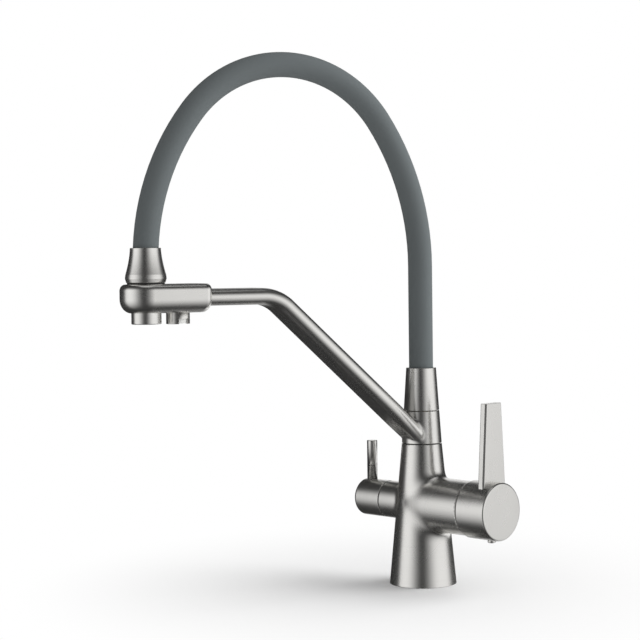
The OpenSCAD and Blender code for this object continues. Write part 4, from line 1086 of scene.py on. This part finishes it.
class TAP_OT_outlets(bpy.types.Operator):
    """Turns the two outlets and sets a lip round each of their jets"""
    bl_idname = "tap.outlets"
    bl_label = "Outlets"

    def execute(self, context):
        edge, sizes = context.scene.tap_body.edge, context.scene.tap_spout
        outlet_r, bore_r = half_width("aerator_housing"), sizes.outlet_bore_r
        bottom, inside = low("aerator_housing").z, low("aerator_insert").z
        outlet = Shell()
        outlet.lathe(rounded([(bore_r, inside, 0), (bore_r, bottom, edge), (outlet_r, bottom, 2 * edge),
                              (outlet_r, head_z + OVERLAP, 0)]), at_outlet(reach))
        finish_shell("outlet_turned", outlet, "nickel_upright", "spout", "aerator_housing")
        self.nozzle(sizes, edge)
        tree = jet_tree()
        for name, node, s, rings in (("aerator_jets", "aerator_insert", reach, 2),
                                     ("nozzle_jets", "nozzle_insert", reach - sizes.outlet_pitch, 1)):
            seed = bpy.data.meshes.new(name)
            material = finish_of("white_plastic")
            mesh = grow(name, seed, tree, {
                "Rings": rings, "Jets": sizes.jets, "Pitch": sizes.jet_pitch, "Lip radius": sizes.jet_lip_r,
                "Lip thickness": sizes.jet_lip_t, "Material": material})
            heading = Matrix.Rotation(math.atan2(along.x, -along.y), 4, "Z")
            mesh.transform(Matrix.Translation(along * s + UP * low(node).z) @ heading)
            finish_piece(name, mesh, material, "spout")
        return {"FINISHED"}

    def nozzle(self, sizes, edge):
        """The filter nozzle, with the key slot cut across its rim."""
        nozzle_r = half_width("filter_nozzle")
        bore_r = nozzle_r - sizes.nozzle_wall
        bottom, roof, top = low("filter_nozzle").z, head_z - NOZZLE_ROOF, head_z + OVERLAP
        shell = Shell()
        s = reach - sizes.outlet_pitch
        shell.lathe(rounded([(0, roof, 0), (bore_r, roof, 0), (bore_r, bottom, edge),
                             (nozzle_r, bottom, edge), (nozzle_r, top, 0), (0, top, 0)]), at_outlet(s))
        mesh = shell.mesh("nozzle_turned")
        piece = bpy.data.objects.new("nozzle_blank", mesh)
        cutter_mesh = bpy.data.meshes.new("key_slot")
        form = bmesh.new()
        bmesh.ops.create_cube(form, size=1.0)
        form.to_mesh(cutter_mesh)
        form.free()
        heading = Matrix.Rotation(math.atan2(across.y, across.x) + sizes.key_slot_turn, 4, "Z")
        size = Matrix.Diagonal((4 * nozzle_r, sizes.key_slot_w, 2 * sizes.key_slot_h, 1))
        cutter_mesh.transform(Matrix.Translation(along * s + UP * bottom) @ heading @ size)
        cutter = bpy.data.objects.new("key_slot", cutter_mesh)
        for thing in (piece, cutter):
            bpy.context.scene.collection.objects.link(thing)
        slot_cut = piece.modifiers.new("key slot", "BOOLEAN")
        slot_cut.object = cutter
        slot_cut.operation = "DIFFERENCE"
        slot_cut.solver = "EXACT"
        graph = bpy.context.evaluated_depsgraph_get()
        made = bpy.data.meshes.new_from_object(piece.evaluated_get(graph))
        bpy.data.objects.remove(piece)
        bpy.data.objects.remove(cutter)
        made.name = "nozzle_turned"
        finish_piece("nozzle_turned", made, finish_of("nickel_upright"), "spout", ["filter_nozzle"])


# The studio, in metres: the photograph's camera, the soft box, the dark dome and the floor
SENSOR_W = 36.0
CAMERA_AT = Vector((0.94217, -1.03553, 0.26203))
CAMERA_FORWARD = Vector((-0.71463, 0.69871, -0.03324))
BOX_SIZE, BOX_FAR, BOX_RISE = 2.4, 2.0, 0.6
DOME_ROWS, DOME_COLUMNS, DOME_R = 90, 180, 3.0
FLOOR_HALF = 9.0
PAPER_NEAR, PAPER_FAR = 0.03, 0.34  # where the paper begins to run out into white, and where it is white

# Openings of the dome, in degrees: begins to clear, is clear, begins to darken, is dark
LEFT = (7, 60, 82, 98)
RIGHT = (0, 58, 91, 125)
BEHIND = (105, 130, 160, 176)
BELOW = (9, 19, 45, 70)
# The same, where an opening has one end only: begins to change, has changed
REAR = (166, 178)
ABOVE = (66, 78)
BAND_TOP = (11, 53)
BAND_FOOT = (-8, 70)
ABOVE_SHARE = 0.6  # how clear the opening above is


def smooth_step(value, start, end):
    part = min(1.0, max(0.0, (value - start) / (end - start)))
    return part * part * (3 - 2 * part)


def window(value, clearing, clear, darkening, dark):
    """How clear an opening is at a value, from 0 to 1."""
    return smooth_step(value, clearing, clear) * (1 - smooth_step(value, darkening, dark))


def dome_shade(around, rise):
    """How dark the dome is in a direction: degrees round from the camera's heading, and degrees up."""
    level = max(window(-around, *LEFT), window(around, *RIGHT), smooth_step(abs(around), *REAR))
    band = (1 - smooth_step(rise, *BAND_TOP)) * (1 - smooth_step(-rise, *BAND_FOOT))
    low_behind = window(around, *BEHIND) * window(-rise, *BELOW)
    return 1 - max(level * band, low_behind, ABOVE_SHARE * smooth_step(rise, *ABOVE))


class TAP_OT_stage(bpy.types.Operator):
    """Sets the camera, the soft light, the pale floor and the dark dome that the metal reflects"""
    bl_idname = "tap.stage"
    bl_label = "Studio"

    def execute(self, context):
        studio = context.scene.tap_studio
        context.scene.view_settings.view_transform = "Standard"
        self.camera(context, studio)
        self.world(context)
        self.soft_box(context, studio)
        self.dome(context, studio)
        self.floor(context, studio)
        return {"FINISHED"}

    def camera(self, context, studio):
        data = bpy.data.cameras.new("photo_camera")
        data.sensor_width = SENSOR_W
        data.lens = studio.lens
        camera = bpy.data.objects.new("photo_camera", data)
        camera.location = CAMERA_AT
        aim = CAMERA_FORWARD.to_track_quat("-Z", "Y").to_matrix()
        camera.rotation_euler = (aim @ Matrix.Rotation(studio.camera_roll, 3, "Z")).to_euler()
        context.scene.collection.objects.link(camera)
        context.scene.camera = camera

    def world(self, context):
        """White for what the camera and the metal see, a softer level for matt surfaces."""
        world = bpy.data.worlds.new("studio")
        world.use_nodes = True
        nodes, link = world.node_tree.nodes, world.node_tree.links.new
        path = nodes.new("ShaderNodeLightPath")
        soft, white = nodes["Background"], nodes.new("ShaderNodeBackground")
        mix = nodes.new("ShaderNodeMixShader")
        seen = path.outputs["Is Camera Ray"]
        for ray in ("Is Glossy Ray", "Is Transmission Ray"):
            most = nodes.new("ShaderNodeMath")
            most.operation = "MAXIMUM"
            link(seen, most.inputs[0])
            link(path.outputs[ray], most.inputs[1])
            seen = most.outputs[0]
        soft.inputs["Color"].default_value = (1, 1, 1, 1)
        soft.inputs["Strength"].default_value = context.scene.tap_studio.fill
        white.inputs["Color"].default_value = (1, 1, 1, 1)
        white.inputs["Strength"].default_value = 1.0
        link(seen, mix.inputs[0])
        link(soft.outputs[0], mix.inputs[1])
        link(white.outputs[0], mix.inputs[2])
        link(mix.outputs[0], nodes["World Output"].inputs["Surface"])
        context.scene.world = world

    def soft_box(self, context, studio):
        """A large soft box at the right, seen only by matt surfaces."""
        data = bpy.data.lights.new("soft_box", "AREA")
        data.size = BOX_SIZE
        data.energy = studio.box_power
        lamp = bpy.data.objects.new("soft_box", data)
        angle = studio.camera_heading + studio.box_heading
        lamp.location = Vector((math.cos(angle), math.sin(angle), BOX_RISE)) * BOX_FAR
        lamp.rotation_euler = lamp.location.to_track_quat("Z", "Y").to_euler()
        lamp.visible_glossy = False
        context.scene.collection.objects.link(lamp)

    def dome(self, context, studio):
        """A dark dome that only the metal sees. Its openings let the white world through."""
        points, shades, faces = [], [], []
        for row in range(DOME_ROWS + 1):
            rise = math.pi * (row / DOME_ROWS - 0.5)
            for column in range(DOME_COLUMNS):
                angle = math.tau * column / DOME_COLUMNS - math.pi
                level = Vector((math.cos(angle), math.sin(angle), 0))
                points.append((level * math.cos(rise) + UP * math.sin(rise)) * DOME_R + UP * valve_z)
                around = math.degrees(math.remainder(angle - studio.camera_heading, math.tau))
                shades.append(dome_shade(around, math.degrees(rise)))
        for row in range(DOME_ROWS):
            for column in range(DOME_COLUMNS):
                a = row * DOME_COLUMNS + column
                b = row * DOME_COLUMNS + (column + 1) % DOME_COLUMNS
                faces.append((a, b, b + DOME_COLUMNS, a + DOME_COLUMNS))
        mesh = bpy.data.meshes.new("flags")
        mesh.from_pydata(points, [], faces)
        mesh.attributes.new("shade", "FLOAT", "POINT").data.foreach_set("value", shades)
        material = bpy.data.materials.new("flags")
        material.use_nodes = True
        nodes, link = material.node_tree.nodes, material.node_tree.links.new
        nodes.remove(nodes["Principled BSDF"])
        shade, clear, card, mix = (nodes.new("ShaderNode" + kind) for kind in (
            "Attribute", "BsdfTransparent", "Emission", "MixShader"))
        shade.attribute_name = "shade"
        card.inputs["Color"].default_value = (*studio.card, 1)
        link(shade.outputs["Fac"], mix.inputs[0])
        link(clear.outputs[0], mix.inputs[1])
        link(card.outputs[0], mix.inputs[2])
        link(mix.outputs[0], nodes["Material Output"].inputs["Surface"])
        mesh.materials.append(material)
        dome = bpy.data.objects.new("flags", mesh)
        dome.visible_camera = dome.visible_diffuse = dome.visible_transmission = dome.visible_shadow = False
        context.scene.collection.objects.link(dome)

    def floor(self, context, studio):
        """Pale paper that keeps the shadow near the tap and runs out into white."""
        finish = Finish("pale_paper")
        fibre = finish.noise(scale=800.0)
        finish.set(roughness=0.9)
        finish.blend(fibre, tone(studio.paper, 0.99), tone(studio.paper, 1.01), "Base Color")
        nodes, link = finish.nodes, finish.links.new
        far, ramp, path, share, white, mix = (nodes.new("ShaderNode" + kind) for kind in (
            "VectorMath", "MapRange", "LightPath", "Math", "Emission", "MixShader"))
        far.operation = "LENGTH"
        ramp.interpolation_type = "SMOOTHSTEP"
        ramp.inputs["From Min"].default_value = PAPER_NEAR
        ramp.inputs["From Max"].default_value = PAPER_FAR
        share.operation = "MULTIPLY"
        link(finish.place, far.inputs[0])
        link(far.outputs["Value"], ramp.inputs["Value"])
        link(ramp.outputs[0], share.inputs[0])
        link(path.outputs["Is Camera Ray"], share.inputs[1])
        link(share.outputs[0], mix.inputs[0])
        link(finish.shader.outputs[0], mix.inputs[1])
        link(white.outputs[0], mix.inputs[2])
        link(mix.outputs[0], nodes["Material Output"].inputs["Surface"])
        mesh = bpy.data.meshes.new("floor")
        signs = ((-1, -1), (1, -1), (1, 1), (-1, 1))
        mesh.from_pydata([(x * FLOOR_HALF, y * FLOOR_HALF, 0) for x, y in signs], [], [(0, 1, 2, 3)])
        mesh.materials.append(finish.material)
        floor = bpy.data.objects.new("floor", mesh)
        floor.visible_glossy = False
        context.scene.collection.objects.link(floor)


class TAP_PT_panel(bpy.types.Panel):
    """Lists the tap's builders"""
    bl_idname = "TAP_PT_panel"
    bl_label = "Filter Tap"
    bl_space_type = "VIEW_3D"
    bl_region_type = "UI"
    bl_category = "Tap"

    def draw(self, context):
        for operator in BUILDERS:
            self.layout.operator(operator.bl_idname)


BUILDERS = (TAP_OT_stage, TAP_OT_finishes, TAP_OT_body, TAP_OT_collar, TAP_OT_lever, TAP_OT_filter_knob,
            TAP_OT_spout, TAP_OT_hose, TAP_OT_head, TAP_OT_outlets)
GROUPS = {"tap_body": TapBodySizes, "tap_lever": TapLeverSizes, "tap_spout": TapSpoutSizes,
          "tap_finishes": TapFinishes, "tap_studio": TapStudio}


def register():
    for made in (*GROUPS.values(), *BUILDERS, TAP_PT_panel):
        bpy.utils.register_class(made)
    for name, group in GROUPS.items():
        setattr(bpy.types.Scene, name, PointerProperty(type=group))


def unregister():
    for name in GROUPS:
        delattr(bpy.types.Scene, name)
    for made in reversed((*GROUPS.values(), *BUILDERS, TAP_PT_panel)):
        bpy.utils.unregister_class(made)


def main():
    register()
    for operator in BUILDERS:
        group, name = operator.bl_idname.split(".")
        getattr(getattr(bpy.ops, group), name)()


if __name__ == "__main__":
    main()
